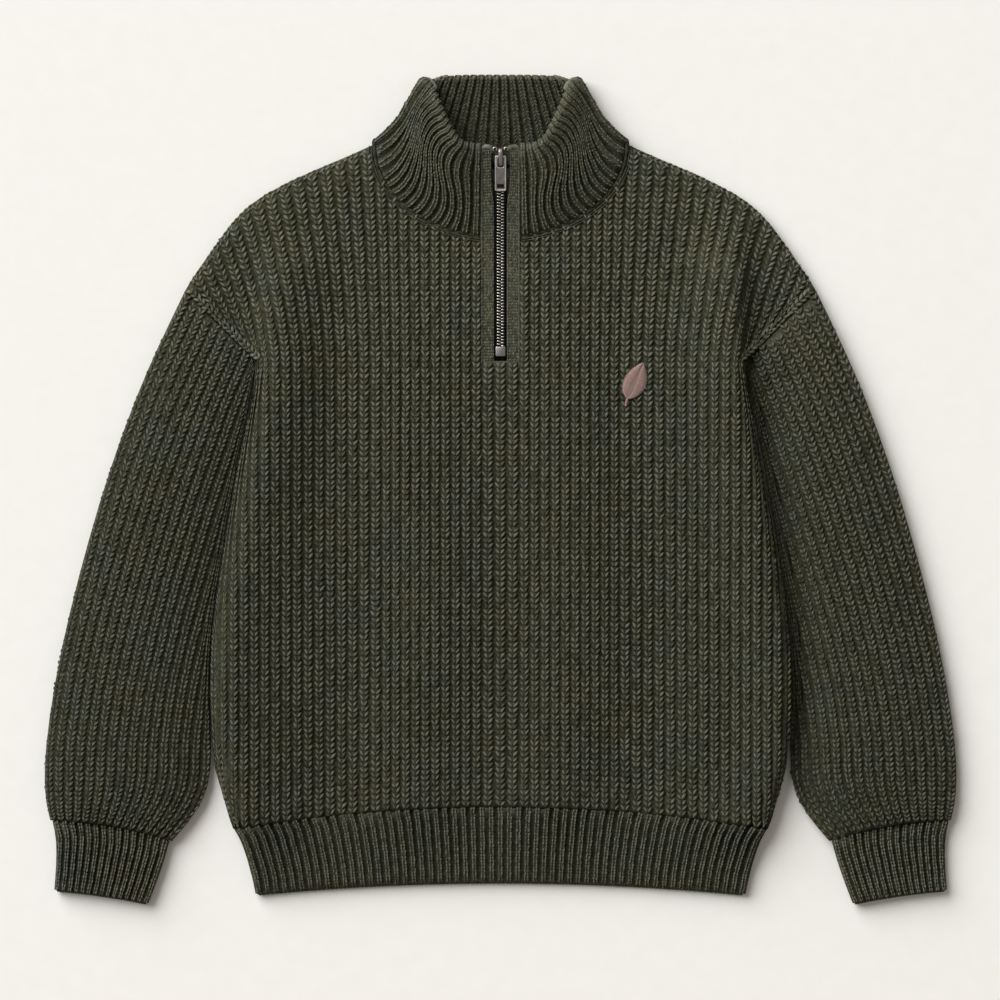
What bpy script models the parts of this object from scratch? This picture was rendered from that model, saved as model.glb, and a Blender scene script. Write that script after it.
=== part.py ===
"""Quarter zip sweater in chunky rib knit, lying flat on its back with its sleeves beside it.

Metres, +Z up. The sweater lies on z = 0 with its front up: +Y points to the collar and +X to
the wearer's left. The tables and the sizes below are in millimetres, and every mesh point is
turned into metres when its object is made.
"""

import math

import bmesh
import bpy
import numpy as np

MM = 0.001
SHARP_DEGREES = 25  # the ribs' valleys and crests are sharper than this

# Walls. A knitted wall is WALL thick under a rib's valley and WALL + RIB_RISE under its crest.
SEAM_GAP = 0.3
BACK_WALL = 5.0
FRONT_INNER = BACK_WALL + 0.4
WALL = 4.2
RIB_RISE = 2.0
FULL_RIB_PITCH = 7.0
EDGE_HEIGHT = 6.9
EDGE_ROUND = 8.0
UNDER_EDGES = ((0.0, 3.2), (2.0, 0.9), (5.5, 0.0))  # distance from the edge, height of the underside
LOFT = 1.4
LOFT_MOST = 3.4
LOFT_RAMP = 35.0
SEAM_PINCH = 1.3

# Front and back panels.
ARMPIT_Y = 114.0
ARMPIT_X = 218.0
SHOULDER_END = (283.5, 178.0)
BODY_SIDE = (  # y, half width
    (-305.5, 240.3), (-294, 244.8), (-283.5, 250), (-265, 254.5), (-240, 258), (-205, 261),
    (-151, 261.3), (-100, 255.5), (-55, 248.6), (17, 236.5), (76, 224.6), (ARMPIT_Y, ARMPIT_X),
)
SHOULDER = (  # x, y
    (113.4, 310), (135, 299.7), (161.6, 288.9), (185.9, 278.1), (206.6, 267.3), (223.2, 256.5),
    (235.4, 245.7), (244.8, 234.9), (252.5, 224.1), (260.6, 213.3), (267.3, 202.5),
    (275.4, 191.7), SHOULDER_END,
)
NECK_CENTRE_Y, NECK_HALF_WIDTH, NECK_DROP = 307.0, 113.4, 81.0
BACK_NECK_Y, BACK_NECK_RISE = 289.0, 18.0
NOTCH_HALF = 16.8
NOTCH_RIBS = 3
CLOTH_HALF = 261.3        # half width over which the rib columns are laid out
NOTCH_SHARE = NOTCH_HALF / CLOTH_HALF
NECK_CORNER = (114.0, 310.0)
CORNER_ZONE = 0.85        # share of the corner's own share from which the neck edge turns steeply
NECK_SIDE_RIBS, BODY_SIDE_RIBS = 10, 16
NECK_SHRINK, SIDE_SHRINK = 0.92, 0.86  # last rib pitch of each stretch, as a share of its first
YOKE_LEAN = 3.0           # power with which the columns' lean grows towards the armhole
YOKE_RISE = 1.4           # power with which it grows with the height above the armpit
GATHER = 12.0             # width at the side fold in which surplus columns roll under
GATHER_HIGH = 44.0        # the same width at the top of the armhole seam, where they fan out
ROWS_BELOW, ROWS_ABOVE = 9, 5
BACK_NECK_PLACES = (0.18, 0.36, 0.54, 0.7, 0.84, 0.95)  # shares of the neck's half width
FOLDS = (  # x0, y0, x1, y1, half width, height
    (-158, 40, -150, -262, 24, -1.5),
    (120, 60, 148, -250, 26, -0.8),
    (-214, 108, -212, 190, 9, 1.5),
    (214, 108, 212, 190, 9, 1.5),
    (-243, 170, -228, 128, 10, -1.3),
    (243, 170, 228, 128, 10, -1.3),
    (-20, -60, 30, -240, 60, 0.9),
    (-90, 190, 90, 190, 40, 0.5),
)

# Hem bands.
HEM_TOP_Y, HEM_TOP_SAG, HEM_TOP_HALF = -285.3, 20.0, 240.0
HEM_BOTTOM_Y, HEM_BOTTOM_SAG = -352.8, 11.0
HEM_SIDE = (  # share of the way down, half width
    (0.0, 239.6), (0.17, 233.8), (0.36, 229.8), (0.55, 226.2), (0.73, 223.2), (1.0, 220.4),
)
HEM_RIBS = 57
HEM_WALL, HEM_RISE = 3.9, 1.7

# Sleeves and cuffs, of the wearer's left side: the ends of each section and its rib pitch.
SLEEVE_GAP = 1.0
BESIDE_BODY = None        # an inner x that keeps SLEEVE_GAP to the body's side
SLEEVE = (  # outer x, outer y, inner x, inner y, bow, rib pitch
    (283.9, 177.3, 219.0, 113.0, 0.0, 9.3),
    (308.3, 127.0, BESIDE_BODY, 63.0, 1.0, 9.3),
    (327.2, 84.0, BESIDE_BODY, 32.0, 1.0, 9.3),
    (351.0, 19.0, BESIDE_BODY, -18.0, 1.0, 9.3),
    (370.4, -46.0, BESIDE_BODY, -70.0, 1.0, 9.3),
    (387.5, -111.0, BESIDE_BODY, -124.0, 1.0, 9.3),
    (401.4, -175.5, BESIDE_BODY, -183.0, 1.0, 9.3),
    (409.4, -235.0, BESIDE_BODY, -238.0, 1.5, 9.34),
    (410.0, -262.0, 262.0, -268.0, 3.0, 9.25),
    (408.4, -283.0, 274.0, -292.0, 4.5, 8.4),
    (404.6, -297.7, 295.4, -316.4, 5.0, 6.94),
)
SLEEVE_RIBS = 16
SLEEVE_GATHER = 9.0
SLEEVE_LOFT = 2.4
SLEEVE_SLOT = 0.6
CUFF = (  # outer x, outer y, inner x, inner y, bow, rib pitch
    (402.6, -298.4, 297.6, -316.4, 5.0, 7.0),
    (398.7, -316.0, 301.6, -332.0, 3.6, 6.5),
    (399.4, -340.0, 309.6, -355.0, 2.2, 6.0),
    (401.0, -360.0, 316.4, -372.2, 1.4, 5.7),
)
CUFF_RIBS = 15
CUFF_LOFT = 0.6
TUBE_UNDER = (0.0, 0.25, 0.5, 0.75, 1.0)  # shares of the flat underside

# Collar: a folded double band. Stations count its ribs from the zip to the centre back.
COLLAR_SEAM_WALL, COLLAR_RIM_WALL = 6.0, 9.2
COLLAR_RISE = 1.5
COLLAR_EDGE_X = 17.2
COLLAR_RIBS = 25
COLLAR_FRONT_RIBS, COLLAR_FOLD_END = 14.0, 16.0
COLLAR_SEAM_INSET, COLLAR_SIDE_INSET = 0.5, 2.0
COLLAR_SEAM_TURN = 70.0   # degrees round the neckline where the seam leaves the ellipse
COLLAR_SEAM_RIBS = 11.6
COLLAR_SEAM_BULGE = 2.2
COLLAR_SEAM_Z = (9.7, 9.5)
COLLAR_RIM_FRONT = (  # rib, x, y, z
    (0.0, COLLAR_EDGE_X, 304.5, 21.0), (2.6, 31.5, 305.4, 21.0), (4.5, 40.0, 311.3, 20.6),
    (7.0, 47.5, 323.5, 19.8), (10.0, 55.5, 339.5, 18.0), (12.6, 62.0, 353.0, 15.8),
    (COLLAR_FRONT_RIBS, 65.3, 359.6, 14.4),
)
COLLAR_FOLD_SEAM = (110.8, 308.3)
SEAM_FOLD_OUT = (0.55, 0.835)  # the way the fold bulges at the neck seam, and at the rim
RIM_FOLD_OUT = (0.86, 0.51)
COLLAR_WAIST = 4.5        # how far the sides sink in halfway up, towards COLLAR_WAIST_IN
COLLAR_WAIST_IN = (-0.759, -0.652)
COLLAR_BACK_RIM_Y = (364.8, 365.6)
COLLAR_BOW = 1.6
COLLAR_HEIGHTS = (0.0, 0.22, 0.48, 0.74, 1.0)
RIM_TURNS = (50.0, 0.0, -50.0)

# Placket and zip. The line is the top face of the zip tape, as y and z.
ZIP_LINE = (
    (114.5, 9.2), (150, 9.3), (185, 9.5), (208, 10.0), (222, 10.9), (236, 12.4), (250, 14.35),
    (270, 17.3), (290, 20.25), (304.3, 22.35),
)
PLACKET_INNER, PLACKET_OUTER = 5.5, 16.75
PLACKET_LOW, PLACKET_HIGH, PLACKET_ROUND = -3.8, 2.2, 1.2
PLACKET_TOP_ROUND = (  # distance beyond the line's end, share of the thickness, share of the width
    (2.0, 0.86, 0.94), (3.6, 0.5, 0.72),
)
TAPE_INNER, TAPE_OUTER, TAPE_THICK = 0.2, 5.2, 1.0
CHAIN_HALF, CHAIN_LOW, CHAIN_HIGH = 3.3, 0.3, 2.6
CHAIN_BOTTOM_Y, CHAIN_TOP_Y = 128.4, 290.2
STOP_HALF, STOP_BOTTOM_Y, STOP_TOP_Y, STOP_HIGH = 4.6, 119.0, 128.0, 3.1

# Slider and pull tab, in the slider's own frame: origin on the tab's hinge, y up the zip, z out.
HINGE_Y = 298.0
HINGE_RISE = 5.5          # from the tape to the hinge line
SLIDER_HALF, SLIDER_BACK, SLIDER_FRONT = 4.9, 8.0, -7.2
SLIDER_LOW, SLIDER_HIGH = -5.2, -1.5
CROWN_HALF, CROWN_BACK, CROWN_FRONT = 2.2, 6.6, -6.4
CROWN_INNER, CROWN_OUTER, CROWN_POST = 1.6, 2.8, 1.5
TAB_HALF, TAB_THICK, TAB_TOP, TAB_END = 5.4, 1.5, 0.85, -31.5
TAB_WINDOW_HALF, TAB_WINDOW_TOP, TAB_WINDOW_END = 2.75, -0.85, -12.4
TAB_SLOT_HALF, TAB_SLOT_TOP, TAB_SLOT_END = 3.3, -25.2, -29.0
TAB_DROOP = 3.4           # degrees below the zip's slope

# Whole part, moved so that its box is centred on the origin.
CENTRE_Y = 0.95

KNIT = (0.024, 0.027, 0.017)
KNIT_DARK = (0.019, 0.021, 0.014)
TAPE_COLOUR = (0.006, 0.006, 0.006)
NICKEL = (0.34, 0.32, 0.30)
GUNMETAL = (0.16, 0.14, 0.135)


# ---------------------------------------------------------------- tables and curves

def smooth_table(rows):
    """A function running smoothly through rows of (key, values...), with no overshoot."""
    data = np.array(sorted(rows), float)
    keys, values = data[:, 0], data[:, 1:]
    chords = np.diff(values, axis=0) / np.diff(keys)[:, None]
    slopes = np.vstack([chords[:1], (chords[:-1] + chords[1:]) / 2, chords[-1:]])
    inner = slopes[1:-1]
    inner[chords[:-1] * chords[1:] <= 0] = 0.0

    def at(key):
        key = float(min(max(key, keys[0]), keys[-1]))
        i = int(min(max(np.searchsorted(keys, key) - 1, 0), len(keys) - 2))
        step = keys[i + 1] - keys[i]
        t = (key - keys[i]) / step
        return (
            (1 + 2 * t) * (1 - t) ** 2 * values[i]
            + t * (1 - t) ** 2 * step * slopes[i]
            + t * t * (3 - 2 * t) * values[i + 1]
            + t * t * (t - 1) * step * slopes[i + 1]
        )

    return at


def gathered(place, whole, width, zone):
    """A place among columns laid out over a whole width, where only a narrower width shows.

    The columns keep their pitch and close up smoothly in the last zone, at the fold.
    """
    if whole <= width:
        return place * width / whole
    start = width - zone
    if place <= start:
        return place
    surplus = (whole - start) / zone - 1
    over = place - start
    return start + over / (1 + surplus * over / (whole - start))


def eased(share):
    share = min(max(share, 0.0), 1.0)
    return share * share * (3 - 2 * share)


def fold_height(x, y):
    """The height that the soft folds add at a point."""
    total = 0.0
    for x0, y0, x1, y1, half_width, height in FOLDS:
        along_x, along_y = x1 - x0, y1 - y0
        length = math.hypot(along_x, along_y)
        t = ((x - x0) * along_x + (y - y0) * along_y) / length**2
        nearest = min(max(t, 0.0), 1.0)
        off = math.hypot(x - x0 - nearest * along_x, y - y0 - nearest * along_y)
        total += height * math.exp(-((off / half_width) ** 2))
    return total


def inner_height(x, y, distance, loft=LOFT):
    """Height of a top wall's inner face, at a distance from the garment's rounded edge."""
    rise = min(max(loft + fold_height(x, y), 0.0), LOFT_MOST)
    return FRONT_INNER + rise * eased(distance / LOFT_RAMP)


def rounded(height, distance):
    """A top wall's outer height, rounded down to the garment's edge."""
    if distance >= EDGE_ROUND:
        return height
    drop = 1 - max(distance, 0.0) / EDGE_ROUND
    return EDGE_HEIGHT + (height - EDGE_HEIGHT) * math.sqrt(1 - drop * drop)


def under_height(distance):
    """Height of the underside, flat but for its rounded edge."""
    edges, heights = zip(*UNDER_EDGES)
    return float(np.interp(distance, edges, heights))


# ---------------------------------------------------------------- meshes

def material(name, colour, roughness, metallic=0.0):
    made = bpy.data.materials.new(name)
    made.use_nodes = True
    shader = made.node_tree.nodes["Principled BSDF"]
    shader.inputs["Base Color"].default_value = (*colour, 1.0)
    shader.inputs["Roughness"].default_value = roughness
    shader.inputs["Metallic"].default_value = metallic
    made.diffuse_color = (*colour, 1.0)
    return made


def finish(bm, name, collection, surface, smooth=True):
    """A bmesh in millimetres made into an object in metres."""
    bmesh.ops.recalc_face_normals(bm, faces=bm.faces)
    bmesh.ops.triangulate(bm, faces=[f for f in bm.faces if len(f.verts) > 4])
    bmesh.ops.scale(bm, vec=(MM, MM, MM), verts=bm.verts)
    mesh = bpy.data.meshes.new(name)
    bm.to_mesh(mesh)
    bm.free()
    if smooth:
        mesh.shade_smooth()
        mesh.set_sharp_from_angle(angle=math.radians(SHARP_DEGREES))
    made = bpy.data.objects.new(name, mesh)
    mesh.materials.append(surface)
    collection.objects.link(made)
    return made


def stitch(bm, first, second):
    """Triangles between two closed loops of (place, vertex), each rising in place from 0."""
    length = 1 + math.floor(max(first[-1][0], second[-1][0]))
    first = first + [(length, first[0][1])]
    second = second + [(length, second[0][1])]
    i = j = 0
    while i < len(first) - 1 or j < len(second) - 1:
        step_first = j == len(second) - 1 or (
            i < len(first) - 1 and first[i + 1][0] <= second[j + 1][0]
        )
        if step_first:
            bm.faces.new((first[i][1], first[i + 1][1], second[j][1]))
            i += 1
        else:
            bm.faces.new((first[i][1], second[j + 1][1], second[j][1]))
            j += 1


def grid_faces(bm, grid, ring=False, skipped=None):
    """Quads between the rows of a grid of vertices; skipped tells which cells stay open."""
    for r, (low, high) in enumerate(zip(grid, grid[1:])):
        count = len(low) if ring else len(low) - 1
        for c in range(count):
            d = (c + 1) % len(low)
            if skipped and skipped(r, c):
                continue
            bm.faces.new((low[c], low[d], high[d], high[c]))


def edge_loop(grid, shares, notch_row):
    """The boundary of a panel's grid as (place, vertex), round the notch where it has one."""
    last = len(grid) - 1
    notch = NOTCH_SHARE
    left = [c for c, s in enumerate(shares) if s <= -notch + 1e-9]
    right = [c for c, s in enumerate(shares) if s >= notch - 1e-9]
    every = range(len(shares))
    loop = [((shares[c] + 1) / 2, grid[0][c]) for c in every]
    loop += [(1 + r / last, grid[r][-1]) for r in range(1, last + 1)]
    if notch_row is None:
        loop += [(2 + (1 - shares[c]) / 2, grid[last][c]) for c in reversed(every[:-1])]
        loop += [(3 + (last - r) / last, grid[r][0]) for r in range(last - 1, 0, -1)]
        return loop
    depth = last - notch_row
    loop += [(2 + (1 - shares[c]) / (1 - notch), grid[last][c]) for c in reversed(right[:-1])]
    loop += [(3 + (last - r) / depth, grid[r][right[0]]) for r in range(last - 1, notch_row - 1, -1)]
    floor = range(right[0] - 1, left[-1] - 1, -1)
    loop += [(4 + (notch - shares[c]) / (2 * notch), grid[notch_row][c]) for c in floor]
    loop += [(5 + (r - notch_row) / depth, grid[r][left[-1]]) for r in range(notch_row + 1, last + 1)]
    loop += [(6 + (-notch - shares[c]) / (1 - notch), grid[last][c]) for c in reversed(left[:-1])]
    loop += [(7 + (last - r) / last, grid[r][0]) for r in range(last - 1, 0, -1)]
    return loop


def panel(name, collection, surface, top, top_shares, bottom, bottom_shares, notch_row=None):
    """A wall between a top and a bottom grid of points, which may differ in their columns."""
    bm = bmesh.new()
    notch = NOTCH_SHARE
    loops = []
    for points, shares in ((top, top_shares), (bottom, bottom_shares)):
        def open_cell(r, c, shares=shares):
            middle = (shares[c] + shares[c + 1]) / 2
            return notch_row is not None and r >= notch_row and abs(middle) < notch

        in_notch = [
            notch_row is not None and abs(s) < notch - 1e-9 for s in shares
        ]
        grid = [
            [
                None if in_notch[c] and r > (notch_row or 0) else bm.verts.new(p)
                for c, p in enumerate(row)
            ]
            for r, row in enumerate(points)
        ]
        grid_faces(bm, grid, skipped=open_cell)
        loops.append(edge_loop(grid, shares, notch_row))
    stitch(bm, *loops)
    return finish(bm, name, collection, surface)


def tube(name, collection, surface, outer, outer_places, inner, inner_places):
    """A tube between rings of outer and of inner points, open at both ends."""
    bm = bmesh.new()
    outside = [[bm.verts.new(p) for p in ring] for ring in outer]
    inside = [[bm.verts.new(p) for p in ring] for ring in inner]
    grid_faces(bm, outside, ring=True)
    grid_faces(bm, inside, ring=True)
    for end in (0, -1):
        stitch(
            bm,
            list(zip(outer_places, outside[end])),
            list(zip(inner_places, inside[end])),
        )
    return finish(bm, name, collection, surface)


def loft(name, collection, surface, sections):
    """A solid through closed sections of the same number of points, capped at both ends."""
    bm = bmesh.new()
    rings = [[bm.verts.new(p) for p in section] for section in sections]
    grid_faces(bm, rings, ring=True)
    bm.faces.new(rings[0])
    bm.faces.new(rings[-1])
    return finish(bm, name, collection, surface)


def block(name, collection, surface, low, high, bevel=0.0):
    """A box between two corners, in millimetres, with bevelled edges."""
    bm = bmesh.new()
    bmesh.ops.create_cube(bm, size=1.0)
    size = [h - l for l, h in zip(low, high)]
    centre = [(l + h) / 2 for l, h in zip(low, high)]
    bmesh.ops.scale(bm, vec=size, verts=bm.verts)
    bmesh.ops.translate(bm, vec=centre, verts=bm.verts)
    if bevel:
        bmesh.ops.bevel(bm, geom=bm.edges, offset=bevel, segments=1, affect="EDGES")
    return finish(bm, name, collection, surface, smooth=False)


def cut(target, tool, operation):
    """A Boolean of one block by another, applied by the viewer of the modifier stack."""
    change = target.modifiers.new(f"{operation.lower()} {tool.name}", "BOOLEAN")
    change.operation = operation
    change.object = tool
    tool.hide_render = True
    tool.display_type = "WIRE"


# ---------------------------------------------------------------- front and back panels

body_side = smooth_table(BODY_SIDE)
shoulder_line = smooth_table(SHOULDER)


def side_x(y):
    """Half width of the body; above the armpit it runs along the armhole seam and beyond."""
    if y <= ARMPIT_Y:
        return float(body_side(y)[0])
    lean = (SHOULDER_END[0] - ARMPIT_X) / (SHOULDER_END[1] - ARMPIT_Y)
    return ARMPIT_X + (y - ARMPIT_Y) * lean


def column_x(share, y):
    """Where a rib column stands: upright in the body, leaning out towards the shoulder."""
    up = max(y - ARMPIT_Y, 0.0) / (SHOULDER_END[1] - ARMPIT_Y)
    lean = (SHOULDER_END[0] - CLOTH_HALF) * up**YOKE_RISE
    place = CLOTH_HALF * abs(share) + lean * abs(share) ** YOKE_LEAN
    if up < 1:
        zone = GATHER + (GATHER_HIGH - GATHER) * up
        place = gathered(place, CLOTH_HALF + lean, side_x(y), zone)
    return math.copysign(place, share)


def hem_seam_y(x):
    return HEM_TOP_Y - HEM_TOP_SAG * (x / HEM_TOP_HALF) ** 2


def front_top_y(x):
    """The neckline, or the shoulder beyond it."""
    x = abs(x)
    if x < NECK_HALF_WIDTH:
        return NECK_CENTRE_Y - NECK_DROP * math.sqrt(1 - (x / NECK_HALF_WIDTH) ** 2)
    return float(shoulder_line(x)[0])


def back_top_y(x):
    x = abs(x)
    if x < NECK_HALF_WIDTH:
        return BACK_NECK_Y + BACK_NECK_RISE * (x / NECK_HALF_WIDTH) ** 2
    return float(shoulder_line(x)[0])


def column_end(share, top_y):
    """Height at which a column meets the panel's top edge."""
    if abs(share) > 1 - 1e-9:
        return SHOULDER_END[1]
    low, high = ARMPIT_Y, 330.0
    for _ in range(40):
        middle = (low + high) / 2
        if middle < top_y(column_x(share, middle)):
            low = middle
        else:
            high = middle
    return low


def column_start(share):
    y = HEM_TOP_Y
    for _ in range(12):
        y = hem_seam_y(column_x(share, y))
    return y


def panel_rows(share, top_y):
    """Heights of a column's points: hem seam, armpit level and top edge, with rounding rows."""
    start, end = column_start(share), column_end(share, top_y)
    below = np.linspace(start + EDGE_ROUND, ARMPIT_Y, ROWS_BELOW + 1)
    above = np.linspace(ARMPIT_Y, end - EDGE_ROUND, ROWS_ABOVE + 1)[1:]
    return [start, *below, *above, end - EDGE_ROUND / 3, end]


NOTCH_ROW = 1 + ROWS_BELOW


def corner_share():
    """Share of the column that meets the corner between neckline and shoulder."""
    low, high = 0.0, 1.0
    for _ in range(40):
        middle = (low + high) / 2
        if column_x(middle, NECK_CORNER[1]) < NECK_CORNER[0]:
            low = middle
        else:
            high = middle
    return high


def shrinking(start, end, count, last):
    """Places after start up to end, whose steps shrink evenly to a share of the first."""
    steps = np.linspace(1.0, last, count)
    return start + (end - start) * np.cumsum(steps) / steps.sum()


def rib_edges():
    """Shares of the half width at which the ribs meet, from one side seam to the other."""
    corner = corner_share()
    outward = [
        *shrinking(NOTCH_SHARE, corner, NECK_SIDE_RIBS, NECK_SHRINK),
        *shrinking(corner, 1.0, BODY_SIDE_RIBS, SIDE_SHRINK),
    ]
    middle = np.linspace(-NOTCH_SHARE, NOTCH_SHARE, NOTCH_RIBS + 1)
    return [*(-s for s in reversed(outward)), *middle, *outward]


def with_crests(edges):
    """Rib edges with a crest between each two, and 0 or 1 for valley or crest."""
    shares, crests = [edges[0]], [0]
    for a, b in zip(edges, edges[1:]):
        shares += [(a + b) / 2, b]
        crests += [1, 0]
    return shares, crests


def edge_distance(x, y, end, on_shoulder):
    """Distance of a panel's point from the garment's rounded edge."""
    side = side_x(y) - abs(x) if y < ARMPIT_Y - 1e-6 else 1e3
    top = end - y if on_shoulder else 1e3
    return min(side, top)


def panel_grid(shares, top_y, height):
    """Points of a panel face: height gives z from the place, the edge distance and the row."""
    columns = []
    for c, share in enumerate(shares):
        ys = panel_rows(share, top_y)
        on_shoulder = abs(column_x(share, ys[-1])) >= NECK_HALF_WIDTH
        column = []
        for r, y in enumerate(ys):
            x = column_x(share, y)
            distance = edge_distance(x, y, ys[-1], on_shoulder)
            column.append((x, y, height(c, r, x, y, distance)))
        columns.append(column)
    return [list(row) for row in zip(*columns)]


def front_panel(collection, surface):
    edges = rib_edges()
    shares, crests = with_crests(edges)

    def outer(c, r, x, y, distance):
        z = inner_height(x, y, distance) + WALL + RIB_RISE * crests[c]
        if r == 0:
            z -= SEAM_PINCH
        return rounded(z, distance)

    def inner(c, r, x, y, distance):
        return inner_height(x, y, distance)

    corner, last = corner_share(), len(shares) - 1
    kept = [
        s for i, s in enumerate(shares)
        if min(i, last - i) % 6 == 0
        or abs(s) < corner + 1e-6 and (not crests[i] or abs(s) > CORNER_ZONE * corner)
    ]
    top = panel_grid(shares, front_top_y, outer)
    bottom = panel_grid(kept, front_top_y, inner)
    return panel("front_panel", collection, surface, top, shares, bottom, kept, NOTCH_ROW)


def back_shares():
    """Columns of the plain back: at the folds, at the neck's corners and evenly between."""
    corner = corner_share()
    outward = [*np.linspace(corner, 0.93, 6), 0.965, 0.99, 1.0]
    outward = [*(corner * place for place in BACK_NECK_PLACES), *outward]
    return [*(-s for s in reversed(outward)), 0.0, *outward]


def back_panel(collection, surface):
    shares = back_shares()

    def under(c, r, x, y, distance):
        return under_height(distance)

    def inner(c, r, x, y, distance):
        return BACK_WALL

    top = panel_grid(shares, back_top_y, inner)
    bottom = panel_grid(shares, back_top_y, under)
    return panel("back_panel", collection, surface, top, shares, bottom, shares)


# ---------------------------------------------------------------- hem

hem_side = smooth_table(HEM_SIDE)


def hem_point(share, down):
    """A point of the hem band, down from its seam (0) to its lower edge (1)."""
    half = float(hem_side(down)[0])
    x = share * half
    top = HEM_TOP_Y - SEAM_GAP - HEM_TOP_SAG * (x / HEM_TOP_HALF) ** 2
    bottom = HEM_BOTTOM_Y - HEM_BOTTOM_SAG * share**2
    return x, top + (bottom - top) * down


HEM_DEPTH = HEM_TOP_Y - HEM_BOTTOM_Y
HEM_DOWN = (1.0, 1 - 3 / HEM_DEPTH, 1 - EDGE_ROUND / HEM_DEPTH, 0.5, 0.17, 0.0)


def hem_grid(shares, height):
    rows = []
    for down in HEM_DOWN:
        half = float(hem_side(down)[0])
        row = []
        for c, share in enumerate(shares):
            x, y = hem_point(share, down)
            distance = min(half - abs(x), (1 - down) * HEM_DEPTH)
            row.append((x, y, height(c, distance)))
        rows.append(row)
    return rows


def hem(collection, surface):
    edges = list(np.linspace(-1, 1, HEM_RIBS + 1))
    shares, crests = with_crests(edges)

    def outer(c, distance):
        return rounded(FRONT_INNER + HEM_WALL + HEM_RISE * crests[c], distance)

    top = hem_grid(shares, outer)
    plain = edges[::3]
    bottom = hem_grid(plain, lambda c, distance: FRONT_INNER)
    panel("hem_front", collection, surface, top, shares, bottom, plain)
    back = [-1.0, -0.99, *np.linspace(-0.972, 0.972, 19), 0.99, 1.0]
    panel(
        "hem_back", collection, surface,
        hem_grid(back, lambda c, distance: BACK_WALL), back,
        hem_grid(back, lambda c, distance: under_height(distance)), back,
    )


# ---------------------------------------------------------------- sleeves and cuffs

def tube_sections(rows):
    """A table's sections, with the inner ends that lie beside the body worked out."""
    return [
        (ax, ay, side_x(by) + SLEEVE_GAP if bx is BESIDE_BODY else bx, by, bow, pitch)
        for ax, ay, bx, by, bow, pitch in rows
    ]


def section_point(section, along):
    """The place in plan at a distance along a section, from its outer fold to its inner one."""
    ax, ay, bx, by, bow, _ = section
    width = math.hypot(bx - ax, by - ay)
    share = along / width
    arch = 4 * bow * share * (1 - share)
    across = ((by - ay) / width, -(bx - ax) / width)
    return ax + (bx - ax) * share + across[0] * arch, ay + (by - ay) * share + across[1] * arch


def rib_places(section, ribs):
    """Distances of the valleys and crests along a section."""
    ax, ay, bx, by, _, pitch = section
    width = math.hypot(bx - ax, by - ay)
    whole = max(ribs * pitch, width)
    places = [
        gathered(whole * k / (2 * ribs), whole, width, SLEEVE_GATHER)
        for k in range(2 * ribs + 1)
    ]
    return places, width


def knit_tube(name, collection, surface, rows, ribs, loft, wall, rise, side):
    """A flattened knitted tube: ribs on top, plain inside, its underside flat."""
    outer_rings, inner_rings = [], []
    slot_at = [i / ribs for i in range(1, ribs, 3)]
    for section in tube_sections(rows):
        places, width = rib_places(section, ribs)

        def put(along, z):
            x, y = section_point(section, along)
            return side * x, y, z

        ring = []
        for k, along in enumerate(places):
            distance = min(along, width - along)
            x, y = section_point(section, along)
            before = places[max(k - 1, 0)]
            after = places[min(k + 1, 2 * ribs)]
            relief = rise * (k % 2) * min((after - before) / FULL_RIB_PITCH, 1.0)
            z = inner_height(side * x, y, distance, loft) + wall + relief
            ring.append(put(along, rounded(z, distance)))
        edge, half_edge, flat = (distance for distance, _ in UNDER_EDGES)
        ring.append(put(width - half_edge, under_height(half_edge)))
        ring += [put(width - flat - share * (width - 2 * flat), 0.0) for share in TUBE_UNDER]
        ring.append(put(half_edge, under_height(half_edge)))
        outer_rings.append(ring)
        margin = wall + SLEEVE_SLOT
        span = width - 2 * margin
        inner = []
        for share in slot_at:
            along = margin + share * span
            x, y = section_point(section, along)
            distance = min(along, width - along)
            inner.append(put(along, inner_height(side * x, y, distance, loft) + SLEEVE_SLOT))
        inner += [put(margin + share * span, BACK_WALL) for share in (0.97, 0.5, 0.03)]
        inner_rings.append(inner)
    top_count = 2 * ribs + 1
    under_count = len(outer_rings[0]) - top_count
    outer_places = [0.5 * k / (top_count - 1) for k in range(top_count)]
    outer_places += [0.5 + 0.5 * (k + 1) / (under_count + 1) for k in range(under_count)]
    inner_places = [0.5 * share for share in slot_at] + [0.515, 0.75, 0.985]
    return tube(name, collection, surface, outer_rings, outer_places, inner_rings, inner_places)


def sleeves(collection, surface, cuff_surface):
    for word, side in (("left", 1), ("right", -1)):
        knit_tube(
            f"sleeve_{word}", collection, surface, SLEEVE, SLEEVE_RIBS,
            SLEEVE_LOFT, WALL, RIB_RISE, side,
        )
        knit_tube(
            f"cuff_{word}", collection, cuff_surface, CUFF, CUFF_RIBS,
            CUFF_LOFT, HEM_WALL, HEM_RISE, side,
        )


# ---------------------------------------------------------------- collar

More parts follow.
